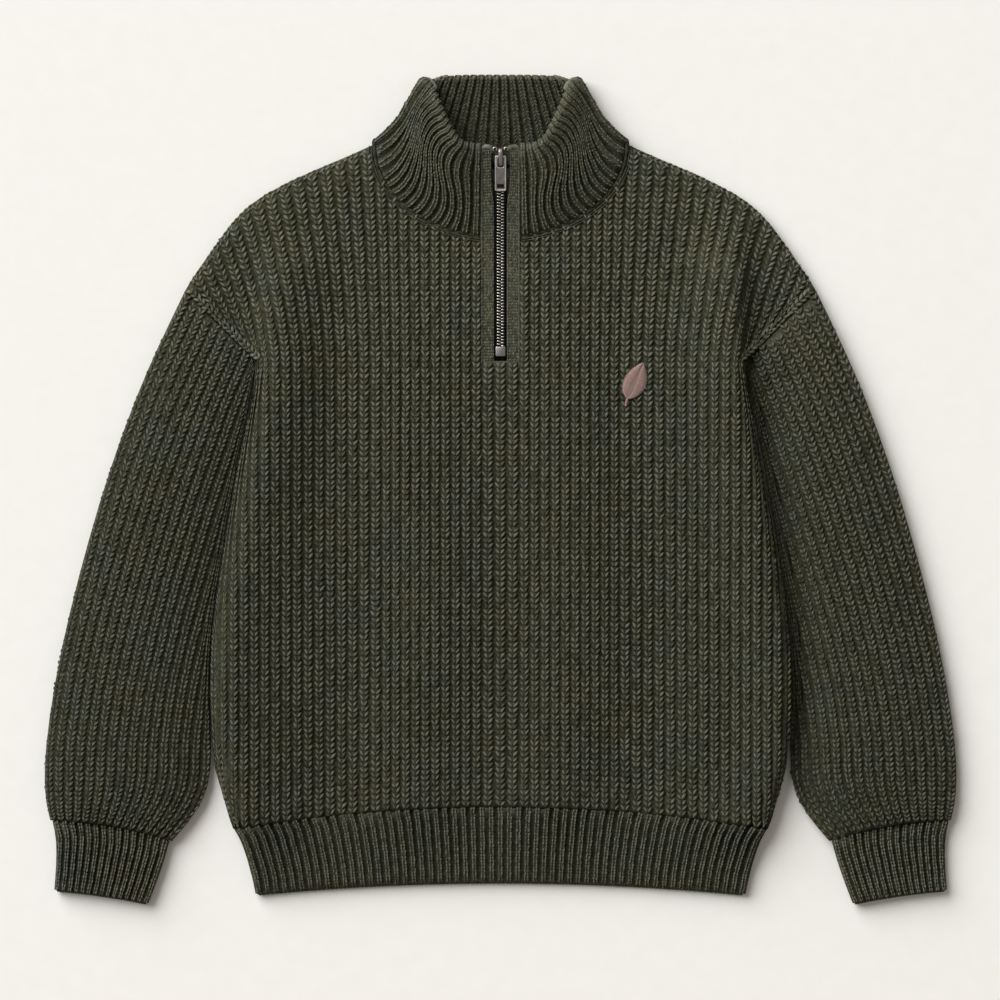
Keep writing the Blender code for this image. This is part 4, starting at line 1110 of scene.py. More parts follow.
def collar_seam(rib):
    """Centre of the collar wall at the neck seam, from the zip to the centre back."""
    low, high = COLLAR_SEAM_Z
    if rib <= COLLAR_FRONT_RIBS:
        start = math.degrees(math.asin(COLLAR_EDGE_X / NECK_HALF_WIDTH))
        share = min(rib / COLLAR_SEAM_RIBS, 1.0)
        turn = math.radians(start + (COLLAR_SEAM_TURN - start) * share)
        inset = COLLAR_SEAM_INSET + (COLLAR_SIDE_INSET - COLLAR_SEAM_INSET) * share**4
        x = (NECK_HALF_WIDTH - inset) * math.sin(turn)
        y = NECK_CENTRE_Y - (NECK_DROP - inset) * math.cos(turn)
        if rib > COLLAR_SEAM_RIBS:
            t = (rib - COLLAR_SEAM_RIBS) / (COLLAR_FRONT_RIBS - COLLAR_SEAM_RIBS)
            x += (COLLAR_FOLD_SEAM[0] - x) * t + COLLAR_SEAM_BULGE * math.sin(math.pi * t)
            y += (COLLAR_FOLD_SEAM[1] - y) * t
        return x, y, low + (high - low) * (rib / COLLAR_FRONT_RIBS) ** 2
    if rib < COLLAR_FOLD_END:
        return fold_point(rib, COLLAR_FOLD_SEAM, SEAM_FOLD_OUT, high, COLLAR_SEAM_WALL / 2)
    share = (COLLAR_RIBS - rib) / (COLLAR_RIBS - COLLAR_FOLD_END)
    x = share * COLLAR_FOLD_SEAM[0]
    level = COLLAR_FOLD_SEAM[1] - back_top_y(COLLAR_FOLD_SEAM[0]) - COLLAR_SEAM_INSET
    return x, back_top_y(x) + COLLAR_SEAM_INSET + level * share**4, COLLAR_SEAM_WALL / 2


def collar_rim(rib):
    """Centre of the collar's rounded rim, from the zip to the centre back."""
    if rib <= COLLAR_FRONT_RIBS:
        return tuple(rim_front(rib))
    x, y, high = COLLAR_RIM_FRONT[-1][1:]
    if rib < COLLAR_FOLD_END:
        return fold_point(rib, (x, y), RIM_FOLD_OUT, high, COLLAR_RIM_WALL / 2)
    share = (COLLAR_RIBS - rib) / (COLLAR_RIBS - COLLAR_FOLD_END)
    centre_y, side_y = COLLAR_BACK_RIM_Y
    level = centre_y + (side_y - centre_y) * share**2
    return share * x, level + (y - side_y) * share**6, COLLAR_RIM_WALL / 2


def collar_centre(rib, height):
    seam, rim = np.array(collar_seam(rib)), np.array(collar_rim(rib))
    waist = COLLAR_WAIST * passing(rib, WAIST_GROWTH, WAIST_END) * math.sin(math.pi * height)
    return seam + (rim - seam) * height + waist * np.array([*COLLAR_WAIST_IN, 0.0])


def collar_section(rib, crest):
    """The collar wall from the neck seam up the outside, over the rim and down the inside.

    Gives its points, the outward direction at each and half the width of a rib there.
    """
    step = 0.25
    seam, rim = collar_centre(rib, 0.0), collar_centre(rib, 1.0)
    up = unit(rim - seam)
    outer_rise = COLLAR_RISE * crest * (1 - grown(rib, OUTER_RIBS_END))
    inner_rise = COLLAR_RISE * crest * grown(rib, INNER_RIBS_GROWTH)
    bow = COLLAR_BOW * passing(rib, BOW_GROWTH, BOW_END)
    outside, inside, half_ribs, normals = [], [], [], []
    for height in COLLAR_HEIGHTS:
        before = collar_centre(max(rib - step, 0.0), height)
        after = collar_centre(min(rib + step, COLLAR_RIBS), height)
        half_ribs.append(np.linalg.norm(after - before) / (4 * step))
        normal = np.cross(after - before, up)
        if rib == 0.0:
            normal[0] = 0.0
        if height == 0.0:
            level = unit(np.array([up[0], up[1], 0.0]))
            normal -= level * normal.dot(level)
        normal = unit(normal)
        half = (COLLAR_SEAM_WALL + (COLLAR_RIM_WALL - COLLAR_SEAM_WALL) * height) / 2
        middle = collar_centre(rib, height) + normal * bow * math.sin(math.pi * height)
        seam_fade = grown(height, SEAM_RIBS) * 0.5 + 0.5
        outside.append(middle + normal * (half + outer_rise * seam_fade))
        inside.append(middle - normal * (half + inner_rise * grown(height, INSIDE_RIBS)))
        normals.append(normal)
    if rib in (0.0, COLLAR_RIBS):
        half_ribs = [2 * half for half in half_ribs]
    lip, lip_outs = [], []
    rise = max(outer_rise, inner_rise)
    for turn in np.radians(RIM_TURNS):
        over = outer_rise if turn > 0 else inner_rise
        way = up * math.cos(turn) + normal * math.sin(turn)
        lip.append(rim + up * math.cos(turn) * (half + rise * 0.6)
                   + normal * math.sin(turn) * (half + over))
        lip_outs.append(way)
    points = [*outside, *lip, *reversed(inside)]
    outs = [*normals, *lip_outs, *(-n for n in reversed(normals))]
    halves = [*half_ribs, *[half_ribs[-1]] * len(lip), *reversed(half_ribs)]
    points = np.array(points)
    points[:, 2] = np.maximum(points[:, 2], 0.0)
    return points, np.array(outs), np.array(halves)


class CollarCloth:
    """The collar's surface by rib station, with its ribs swaying between the seam and the rim."""

    def __init__(self):
        self.fine = 8
        stations = np.arange(COLLAR_RIBS * self.fine + 1) / self.fine
        flat = [collar_section(station, 0.0) for station in stations]
        full = [collar_section(station, 1.0) for station in stations]
        self.flat, self.outs, self.halves = (np.array([f[i] for f in flat]) for i in range(3))
        self.rise = np.array([f[0] for f in full]) - self.flat
        heights, lip = len(COLLAR_HEIGHTS), len(RIM_TURNS)
        self.heights = np.concatenate([COLLAR_HEIGHTS, np.ones(lip), COLLAR_HEIGHTS[::-1]])
        self.outside = np.arange(2 * heights + lip) < heights
        self.inside = np.arange(2 * heights + lip) >= heights + lip
        sway = -np.sin(2 * math.pi * self.heights)
        self.sway = np.where(self.outside, sway * np.where(sway > 0, BEND_HIGH, BEND_LOW), 0.0)

    def at(self, rib, crest):
        """The section's points, outward directions and half widths, with its crests raised."""
        strength = passing(rib, SWAY_GROWTH, SWAY_END)
        place = np.clip((rib + self.sway * strength) * self.fine, 0, len(self.flat) - 1.001)
        low = place.astype(int)
        share = place - low
        each = np.arange(len(self.heights))

        def look(values):
            part = share if values.ndim == 2 else share[:, None]
            return values[low, each] * (1 - part) + values[low + 1, each] * part

        points = look(self.flat) + look(self.rise) * np.reshape(crest, (-1, 1))
        up = self.heights**1.5
        points[:, 2] += COLLAR_STAND * passing(rib, STAND_GROWTH, STAND_END) * up
        points[:, 1] += COLLAR_UP * grown(rib, UP_GROWTH) * up
        points[:, 2] = np.maximum(points[:, 2], 0.0)
        return points, units(look(self.outs)), look(self.halves)

    def profile(self, across):
        """How high a rib stands: narrow near the seam, broad over the rim, round inside."""
        broad = np.array([grown(height, BROAD_RIBS) for height in self.heights])
        broad[self.inside] = 0.35
        narrow_rib = max(1 - across**2, 0.0) ** 1.2
        broad_rib = max(1 - across**4, 0.0) ** 0.5
        return narrow_rib * (1 - broad) + broad_rib * broad


def collar_shell(cloth, surface):
    """The collar's own surface: round ribs, side by side, from the zip to the centre back."""
    sections, marks = [], []
    for i in range(COLLAR_RIBS * RIB_STEPS + 1):
        profile = cloth.profile(2 * (i % RIB_STEPS) / RIB_STEPS - 1)
        sections.append(cloth.at(i / RIB_STEPS, 1.5 * profile - 0.6)[0])
        # painted light and shade: lighter on the ribs' crests and most on the rim, darker in the
        # grooves and all over the inside
        marks.append(profile * np.where(cloth.inside, 0.62, 0.75 + 0.25 * cloth.heights**4))
    mirrored = [section * (-1, 1, 1) for section in sections[-2::-1]]
    sections, marks = sections + mirrored, marks + marks[-2::-1]
    columns, rows = len(sections[0]), len(sections)
    faces = grid_faces(rows, columns, closed=True)
    faces += [tuple(range(columns)), tuple(reversed(range((rows - 1) * columns, rows * columns)))]
    mesh = mesh_from("collar_cloth", np.concatenate(sections), faces)
    marked(mesh, crest=np.concatenate(marks))
    bm = bmesh.new()
    bm.from_mesh(mesh)
    bmesh.ops.recalc_face_normals(bm, faces=bm.faces)
    bm.to_mesh(mesh)
    bm.free()
    made = add_object("collar_cloth", mesh, surface)
    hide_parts("collar")
    return made


def collar_stitches(cloth, outer, inner, rng):
    """Lines of stitches up the outside of the collar's ribs, and down the inside at the back in a
    dimmer yarn, as painted shade.
    """
    # The inside's stitches take a dimmer yarn, painted shade inside the collar.
    parts, insides = (
        [Yarn(f"collar_{part}_{word}", surface, "band_knit", leg, 5, 3.6, BAND_LEG_PAINTED_LIGHT)
         for word, _ in SIDES]
        for part, surface, leg in (("stitches", outer, BAND_LEG), ("inside", inner, INSIDE_LEG))
    )
    heights, lip = len(COLLAR_HEIGHTS), len(RIM_TURNS)
    for k in range(COLLAR_RIBS):
        points, outs, _ = cloth.at(k + 0.5, 0.85)
        halves = np.linalg.norm(cloth.at(k + 1, 0.0)[0] - cloth.at(k, 0.0)[0], axis=1) / 2
        stretches = []
        if k < COLLAR_FOLD_END:
            stretches.append((parts, 0, heights + lip // 2 + 1))
        if k > COLLAR_FRONT_RIBS - 2:
            stretches.append((insides, heights + lip - 3, len(points)))
        for yarns, first, last in stretches:
            for yarn, (_, side) in zip(yarns, SIDES):
                mirror = (side, 1, 1)
                course = Course(points[first:last] * mirror, outs[first:last] * mirror,
                                halves[first:last])
                count = round((course.keys[-1] - 1.0) / BAND_ROW)
                yarn.lay(course, np.linspace(0.5, course.keys[-1] - 0.5, count + 1), thick=0.85)
    for part in (*parts, *insides):
        part.build(rng)


def collar_corners(cloth, surface):
    """The rim's rolled ribs where it folds from the front into the back."""
    top = len(COLLAR_HEIGHTS) + len(RIM_TURNS) // 2
    first, last = CORNER_RIBS
    rims = [cloth.at(rib, 0.4) for rib in np.linspace(first, last, round((last - first) * 4) + 1)]
    path = np.array([points[top] for points, _, _ in rims])
    for _ in range(4):
        path[1:-1] = (path[:-2] + 2 * path[1:-1] + path[2:]) / 4
    paths = [upward((path - (0, 1.6, 2.0)) * (side, 1, 1)) for side in (1, -1)]
    cords("collar_corners", paths, 3.4, surface, "band_knit", sides=10, beads=0.12)


# ---------------------------------------------------------------- seams

def neckline_path(offset):
    """Places in plan along the neckline, outside the collar's seam by an offset."""
    start = math.asin(PLACKET_OUTER / NECK_HALF_WIDTH) + 0.01
    return [
        ((NECK_HALF_WIDTH + offset) * math.sin(turn),
         NECK_CENTRE_Y - (NECK_DROP + offset) * math.cos(turn))
        for turn in np.linspace(start, math.radians(91), 94)
    ]


def armhole_path(shares, offset):
    """Places in plan along the left armhole, moved outward by an offset, and that direction."""
    low, high = np.array((ARMPIT_X, ARMPIT_Y)), np.array(SHOULDER_END)
    heading = unit(high - low)
    outward = np.array((heading[1], -heading[0]))
    return [low + (high - low) * share + outward * offset for share in shares], outward


def neckline_cords(top, surface):
    """Two thin cords along the collar's seam, in a dimmer yarn as painted shade."""
    paths = []
    for side in (1, -1):
        for offset in (2.6, 4.6):
            path = []
            for x, y in neckline_path(offset):
                z = max(top.top(side * (x + aside), y, 9.0) for aside in (0, 2.5, -2.5))
                path.append((side * x, y, z + 0.4))
            paths.append(upward(evened(path)))
    cords("neckline_cords", paths, 0.7, surface, "band_knit", beads=0.2)


def seam_cord(name, places, surfaces, surface, radius, sink):
    """A dark cord, painted shade, that fills the gap of a seam, below the cloth on both of its
    sides.
    """
    path = []
    for x, y, away_x, away_y in places:
        tops = [top.top(x + s * away_x, y + s * away_y) for top in surfaces for s in (-1, 1)]
        tops = [z for z in tops if z is not None]
        path.append((x, y, (max(tops) if tops else 6.0) - sink))
    cords(name, [upward(evened(path))], radius, surface, "knit", flat=1.4)


ARMHOLE_CORD, CUFF_CORD, NECK_CORD, HEM_CORD = (  # radius, and how far it is sunk
    (1.0, 1.7), (1.3, 2.4), (1.9, 2.6), (1.2, 2.4),
)
ROUND_NECK_CORNER = ((-0.2, 0.2), (-0.4, 2.0), (-1.2, 3.4), (-3.0, 4.4))
FEEL = 3.0                # how far to both sides of a seam its cord feels for the cloth


def seam_cords(shells, surface, neck_surface):
    """Dark cords, painted shade, in the armholes, above the cuffs and the hem, and along the
    neckline.
    """
    def tops(*nodes):
        return [Surface(shells[node]) for node in nodes]

    width = math.dist(CUFF[0][:2], CUFF[0][2:4])
    armhole, outward = armhole_path(np.linspace(0.0, 1.0, 50), 0.6)
    cuff = [section_point(CUFF[0], along) for along in np.linspace(1.0, width - 1.0, 60)]
    corner = [(NECK_CORNER[0] + x, NECK_CORNER[1] + y) for x, y in ROUND_NECK_CORNER]
    for word, side in SIDES:
        places = [(side * x, y, side * outward[0] * FEEL, outward[1] * FEEL) for x, y in armhole]
        seam_cord(f"armhole_seam_{word}", places, tops("front_panel", f"sleeve_{word}"), surface,
                  *ARMHOLE_CORD)
        places = [(side * x, y + 0.2, 0.0, FEEL) for x, y in cuff]
        seam_cord(f"cuff_seam_{word}", places, tops(f"sleeve_{word}", f"cuff_{word}"), surface,
                  *CUFF_CORD)
        places = [(side * x, y, FEEL, 0.0) for x, y in neckline_path(-0.2) + corner]
        seam_cord(f"neckline_seam_{word}", places, tops("front_panel", "collar"), neck_surface,
                  *NECK_CORD)
    places = [
        (x, hem_seam_y(x) - 0.1, 0.0, FEEL)
        for x in np.linspace(-HEM_TOP_HALF + 1, HEM_TOP_HALF - 1, 160)
    ]
    seam_cord("hem_seam", places, tops("front_panel", "hem_front"), surface, *HEM_CORD)


ARMHOLE_CHAIN = (3.4, 4.6, 19)  # inset from the seam, half width, places of its stitches
EDGE_CHAINS = (                 # inset, half width, stitches: along a shoulder, low on a side
    (2.2, 3.2, 37), (5.6, 3.2, 15),
)


def armhole_stitches(top, surface, rng):
    """A chain of stitches along the body's side of each armhole seam."""
    yarn = Yarn("armhole_stitches", surface, "knit", BODY_LEG)
    inset, half, count = ARMHOLE_CHAIN
    places, _ = armhole_path(np.linspace(0.01, 0.985, 40), -inset)
    for side in (1, -1):
        points = [(side * x, y, top.top(side * x, y, 9.0) + 0.2) for x, y in places]
        course = Course(*upward(points), np.full(len(points), half))
        yarn.lay(course, np.linspace(0, course.keys[-1], count), thick=1.3)
    yarn.build(rng)


def edge_stitches(top, surface, rng):
    """Stitches along the shoulders and low on the sides, where the front's ribs run out."""
    yarn = Yarn("edge_stitches", surface, "knit", BODY_LEG)
    shoulder = [(x, shoulder_line(x)[0]) for x in np.linspace(124.0, 280.0, 90)]
    low_side = [(body_side(y)[0], y) for y in np.linspace(-303.0, -228.0, 40)]
    for line, (inset, half, count) in zip((shoulder, low_side), EDGE_CHAINS):
        heading = units(np.gradient(np.array(line), axis=0))
        inward = np.column_stack([heading[:, 1], -heading[:, 0]])
        inward *= -np.sign(inward[:, :1])
        for side in (1, -1):
            points, outs = [], []
            for (x, y), (in_x, in_y) in zip(line + inward * inset, inward):
                points.append((side * x, y, top.top(side * x, y, 6.0) + 0.1))
                outs.append((-side * in_x * 0.5, -in_y * 0.5, 0.85))
            course = Course(points, outs, np.full(len(points), half))
            yarn.lay(course, np.linspace(0, course.keys[-1], count + 1), thick=1.25)
    yarn.build(rng)


# ---------------------------------------------------------------- placket and zip

def parted(x, y):
    """Where a place of the placket goes as the slider pushes the two sides apart."""
    near_slider = passing(y, PARTING_GROWTH, PARTING_END)
    outward = 1 - (abs(x) - PLACKET_INNER) / (PLACKET_OUTER - PLACKET_INNER)
    return x + math.copysign(SLIDER_PARTING * near_slider * min(max(outward, 0.0), 1.0), x)


def placket_stitches(surface, rng):
    """Fine plain knit over both plackets."""
    yarn = Yarn("placket_stitches", surface, "placket_knit", FINE_LEG, sides=4, full=1.4)
    columns = 4
    width = (PLACKET_OUTER - PLACKET_INNER - 1.0) / columns
    (before_y, before_z), (end_y, end_z) = ZIP_LINE[-2:]
    slope = (end_z - before_z) / (end_y - before_y)
    ys = np.linspace(ZIP_LINE[0][0], end_y + 2.5, 90)
    for side in (1, -1):
        for c in range(columns):
            x = side * (PLACKET_INNER + 0.5 + (c + 0.5) * width)
            points = [
                (parted(x, y), y, zip_z(y) + slope * max(y - end_y, 0) + PLACKET_HIGH - 0.1)
                for y in ys
            ]
            points[-1] = (points[-1][0], points[-1][1], points[-1][2] - 0.9)
            course = Course(*upward(points), np.full(len(ys), width / 2))
            yarn.lay(course, np.linspace(0, course.keys[-1], 74))
    yarn.build(rng)


PLACKET_LOBE = (  # x, and how far along the placket from its top
    (7.4, -5.0), (7.5, -3.0), (8.0, -1.4), (9.4, -0.2), (11.4, 0.4), (13.4, 0.3), (15.2, -0.5),
    (16.2, -1.8), (16.6, -4.0),
)


def placket_edges(surface, top_surface):
    """A soft chain over the outer side of each placket, in a dimmer yarn as painted shade, and a
    rounded lobe at its top.
    """
    (foot_y, foot_z), (end_y, _) = ZIP_LINE[0], ZIP_LINE[-1]
    paths = [
        upward([(side * PLACKET_OUTER, y, zip_z(y) + PLACKET_HIGH - 0.4)
                for y in np.linspace(foot_y - 1.5, end_y, 120)])
        for side in (1, -1)
    ]
    paths.append(upward([(x, foot_y - 0.8, foot_z + 1.6)
                         for x in np.linspace(-PLACKET_OUTER, PLACKET_OUTER, 24)]))
    cords("placket_edges", paths, 1.1, surface, "placket_knit", beads=0.2)
    y = end_y + 1.6
    paths = [
        upward([(side * x, y + arch, zip_z(y) + 1.3 + arch * 0.4) for x, arch in PLACKET_LOBE])
        for side in (1, -1)
    ]
    cords("placket_tops", paths, 2.2, top_surface, "placket_knit", sides=10, beads=0.1)


def zip_matrix(y, rise=0.0, droop=0.0):
    """From millimetres at a place on the zip (y up the zip, z out) to metres in the scene."""
    slope = math.atan2(zip_z(y + 4) - zip_z(y - 4), 8.0)
    place = Vector((0, y + CENTRE_Y, zip_z(y) + rise)) * MM
    turn = Matrix.Rotation(slope, 4, "X") @ Matrix.Rotation(math.radians(droop), 4, "X")
    return Matrix.Translation(place) @ turn @ Matrix.Scale(MM, 4)


def rounded_box(x0, y0, x1, y1, radius, steps=5):
    """Outline of a rectangle with rounded corners."""
    outline = []
    for cx, cy, start in (
        (x1 - radius, y1 - radius, 0), (x0 + radius, y1 - radius, 90),
        (x0 + radius, y0 + radius, 180), (x1 - radius, y0 + radius, 270),
    ):
        for i in range(steps + 1):
            turn = math.radians(start + 90 * i / steps)
            outline.append((cx + radius * math.cos(turn), cy + radius * math.sin(turn)))
    return outline


def plate(bm, outlines, low, high, bevel, matrix):
    """Adds a plate with bevelled edges to a bmesh; the outlines after the first are its holes."""
    curve = bpy.data.curves.new("plate", "CURVE")
    curve.dimensions = "2D"
    curve.fill_mode = "BOTH"
    curve.extrude = (high - low) / 2 - bevel
    curve.bevel_depth = bevel
    curve.bevel_resolution = 1
    curve.offset = -bevel
    for outline in outlines:
        spline = curve.splines.new("POLY")
        spline.points.add(len(outline) - 1)
        for point, (x, y) in zip(spline.points, outline):
            point.co = (x, y, 0, 1)
        spline.use_cyclic_u = True
    holder = bpy.data.objects.new("plate", curve)
    mesh = bpy.data.meshes.new_from_object(holder)
    mesh.transform(matrix @ Matrix.Translation((0, 0, (low + high) / 2)))
    bm.from_mesh(mesh)
    bpy.data.objects.remove(holder)
    bpy.data.meshes.remove(mesh)


def metal_object(name, bm, surface, body=BODY, replaced=None):
    bmesh.ops.recalc_face_normals(bm, faces=bm.faces)
    mesh = bpy.data.meshes.new(name)
    bm.to_mesh(mesh)
    bm.free()
    mesh.shade_smooth()
    mesh.set_sharp_from_angle(angle=math.radians(38))
    made = add_object(name, mesh, surface, body)
    if replaced:
        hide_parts(replaced)


def bar(bm, low, high, bevel, matrix, segments=2):
    """Adds a bevelled box to a bmesh."""
    made = bmesh.ops.create_cube(bm, size=1.0)["verts"]
    size = [h - l for l, h in zip(low, high)]
    centre = [(l + h) / 2 for l, h in zip(low, high)]
    bmesh.ops.scale(bm, vec=size, verts=made)
    bmesh.ops.translate(bm, vec=centre, verts=made)
    edges = list({e for v in made for e in v.link_edges})
    result = bmesh.ops.bevel(
        bm, geom=edges, offset=bevel, segments=segments, affect="EDGES", profile=0.5
    )
    points = {v for f in result["faces"] for v in f.verts}
    points |= {v for f in result["faces"] for e in f.edges for g in e.link_faces for v in g.verts}
    bmesh.ops.transform(bm, matrix=matrix, verts=list(points))


def zip_teeth(surface):
    """The teeth of both sides, those of one between those of the other."""
    bm = bmesh.new()
    for side, up, low, high in TEETH:
        y = CHAIN_BOTTOM_Y + up
        while y < CHAIN_TOP_Y + 6:
            matrix = zip_matrix(y) @ Matrix.Rotation(math.radians(side * TOOTH_TURN), 4, "Z")
            bar(bm, low, high, TOOTH_BEVEL, matrix)
            y += TOOTH_PITCH
    metal_object("zip_teeth", bm, surface, replaced="zip_chain")


def zip_stop(surface):
    """The block that ends the teeth at the bottom."""
    bm = bmesh.new()
    bar(bm, (-4.5, -4.5, 0.3), (4.5, 4.5, 3.1), 0.9, zip_matrix(123.5), 3)
    metal_object("zip_stop", bm, surface, replaced="zip_bottom_stop")


SLIDER_HALF_OUTLINE = (
    (0.0, 6.3), (2.4, 7.1), (5.2, 7.5), (6.4, 7.0), (6.7, 5.9), (6.2, 4.4), (5.3, 2.6),
    (4.9, 0.6), (4.8, -8.2), (4.5, -10.0), (3.6, -11.0), (0.0, -11.1),
)
SLIDER_ARCH = (  # y, z, half width of the crown
    (6.0, -2.2, 1.3), (6.2, -0.6, 1.5), (5.8, 1.0, 1.65), (4.6, 1.95, 1.75), (3.2, 2.3, 1.8),
    (-1.0, 2.35, 1.8), (-6.2, 2.3, 1.8), (-7.6, 1.9, 1.7), (-8.4, 0.9, 1.5), (-8.7, -0.6, 1.3),
    (-8.5, -2.2, 1.2),
)
SLIDER_CURL = (
    (6.3, 4.9), (6.75, 6.0), (6.4, 7.05), (5.3, 7.45), (3.9, 7.2), (3.2, 6.3), (3.5, 5.3),
)


def zip_slider(surface, crown_surface):
    """The slider's two wings with its shoulders and side walls, darkened as painted shade under
    the tab, and the crown over the tab.
    """
    matrix = zip_matrix(HINGE_Y, HINGE_RISE)
    right = list(SLIDER_HALF_OUTLINE)
    outline = right + [(-x, y) for x, y in right[-2:0:-1]]
    bm = bmesh.new()
    plate(bm, [outline], -2.9, -1.5, 0.45, matrix)
    plate(bm, [[(x * 0.9, y) for x, y in outline]], -5.3, -4.3, 0.3, matrix)
    for side in (1, -1):
        bar(bm, (side * 4.4 - 0.45, -6.0, -4.9), (side * 4.4 + 0.45, 1.6, -1.9), 0.2, matrix)
    bar(bm, (-1.1, 3.0, -4.8), (1.1, 6.6, -2.0), 0.3, matrix)
    metal_object("slider", bm, surface, replaced="zip_slider")
    bm = bmesh.new()
    section = rounded_box(-1, -0.62, 1, 0.62, 0.45, 3)
    path = np.array([(y, z) for y, z, _ in SLIDER_ARCH])
    heading = units(np.gradient(path, axis=0))
    rings = []
    for (y, z, half), (hy, hz) in zip(SLIDER_ARCH, heading):
        rings.append([
            bm.verts.new(matrix @ Vector((across * half, y - hz * out, z + hy * out)))
            for across, out in ((a if abs(a) <= 1 else math.copysign(1, a), b) for a, b in section)
        ])
    for low, high in zip(rings, rings[1:]):
        for s in range(len(low)):
            t = (s + 1) % len(low)
            bm.faces.new((low[s], low[t], high[t], high[s]))
    bm.faces.new(rings[0])
    bm.faces.new(rings[-1])
    metal_object("slider_crown", bm, crown_surface)


def slider_hooks(surface):
    """The bright curled lips of the slider's shoulders."""
    matrix = zip_matrix(HINGE_Y, HINGE_RISE)
    paths = []
    for side in (1, -1):
        path = [matrix @ Vector((side * x, y, -1.35)) for x, y in SLIDER_CURL]
        paths.append(upward([np.array(p) / MM - (0, CENTRE_Y, 0) for p in path]))
    cords("slider_lips", paths, 0.55, surface, "nickel", sides=8)


TAB_OUTER, TAB_INSIDE, TAB_EYE, TAB_WINDOW, TAB_SLOT = (  # low x and y, high x and y, radius
    (-5.0, -31.5, 5.0, 0.2, 1.2), (-3.9, -30.3, 3.9, -0.9, 0.6), (-3.6, -11.3, 3.6, -0.6, 1.8),
    (-2.9, -10.4, 2.9, -0.9, 1.6), (-3.2, -29.0, 3.2, -25.3, 0.7),
)


def pull_tab(face, border, painted_slot_shadow):
    """The tab: a plate with a window round the crown, a dark plate in its slot as painted shadow,
    and its raised border.
    """
    matrix = zip_matrix(HINGE_Y, HINGE_RISE, TAB_DROOP)
    outer, inside, eye, window, slot = (
        rounded_box(*box) for box in (TAB_OUTER, TAB_INSIDE, TAB_EYE, TAB_WINDOW, TAB_SLOT)
    )
    bm = bmesh.new()
    plate(bm, [outer, window], -0.6, 0.4, 0.2, matrix)
    metal_object("pull_tab_plate", bm, face, "pull_tab", "zip_pull_tab")
    bm = bmesh.new()
    plate(bm, [outer, inside], -0.75, 0.85, 0.3, matrix)
    plate(bm, [eye, window], -0.7, 0.7, 0.2, matrix)
    metal_object("pull_tab_border", bm, border, "pull_tab")
    bm = bmesh.new()
    # a dark plate over the slot: painted shadow, with no hole cut
    plate(bm, [slot], -0.2, 0.46, 0.05, matrix)
    metal_object("pull_tab_slot_painted_shadow", bm, painted_slot_shadow, "pull_tab")


# ---------------------------------------------------------------- motif

LEAF_AT, LEAF_LENGTH, LEAF_HALF, LEAF_TURN = (121.0, 97.0), 36.0, 10.5, -24.0
MAUVE = (0.27, 0.175, 0.150)


def leaf_half_width(share):
    return LEAF_HALF * math.sin(math.pi * min(max(share, 0.0), 1.0) ** 0.85) ** 0.8


VEIN_ASIDE, VEIN_ALONG, THREAD_PITCH, THREAD_RADIUS = 0.82, 0.57, 0.62, 0.42
LEAF_STEPS, LEAF_RIBS, STALK_THREADS, LEAF_ARCH = 30, 9, 16, 0.75


def leaf_motif(top, surface):
    """A plain leaf in satin stitch, on a padding that follows the cloth."""
    turn = math.radians(LEAF_TURN)
    at_x, at_y = LEAF_AT
    level = max(
        top.top(at_x + dx, at_y + dy, 9.0) for dx in (-8, 0, 8) for dy in (-12, 0, 12)
    )

    def put(across, along, out):
        x = at_x + across * math.cos(turn) - along * math.sin(turn)
        y = at_y + across * math.sin(turn) + along * math.cos(turn)
        return x, y, level + 1.0 + out

    def half_beside(along, d):
        """Half the leaf's width where a thread has come a distance d from the vein."""
        return leaf_half_width((along + d * VEIN_ALONG) / LEAF_LENGTH)

    points = []
    for i in range(LEAF_STEPS + 1):
        share = i / LEAF_STEPS
        for j in range(LEAF_RIBS):
            a = 2 * j / (LEAF_RIBS - 1) - 1
            height = LEAF_ARCH * (1 - a * a) ** 0.5 - 0.3
            across = a * leaf_half_width(share) * 0.96
            points.append(put(across, (share - 0.5) * LEAF_LENGTH, height))
    padding = mesh_from("leaf_padding", points, grid_faces(LEAF_STEPS + 1, LEAF_RIBS))
    add_object("leaf_padding", padding, surface)
    paths = []
    for side in (1, -1):
        along = 0.4
        while along < LEAF_LENGTH - 2.0:
            end = solved(lambda d: d * VEIN_ASIDE < half_beside(along, d), 0.3, 30.0)
            path = []
            for t in np.linspace(0, 1, 6):
                d = 0.35 + (end - 0.35) * t
                a = min(d * VEIN_ASIDE / max(half_beside(along, d), 0.5), 1.0)
                sunk = 0.6 if t in (0, 1) else 0.05
                arch = LEAF_ARCH * math.sqrt(max(1 - a * a, 0.0)) - sunk
                path.append(put(side * d * VEIN_ASIDE, along + d * VEIN_ALONG - LEAF_LENGTH / 2,
                                arch))
            paths.append(upward(path))
            along += THREAD_PITCH
    for i in range(STALK_THREADS):
        y, bend = -LEAF_LENGTH / 2 - 6.0 + i * 0.5, (i - 12) ** 2 * 0.008
        paths.append(upward([
            put(x + bend, y + x * 0.25, 0.35 - 0.3 * abs(x)) for x in (-1.1, -0.5, 0.5, 1.1)
        ]))
    cords("leaf_threads", paths, THREAD_RADIUS, surface, None, sides=5)


# ---------------------------------------------------------------- stage

PIXEL = 0.9               # width of a pixel on the floor
VIEW_CENTRE = (-0.5, -9.9)
CAMERA_HEIGHT = 4.5


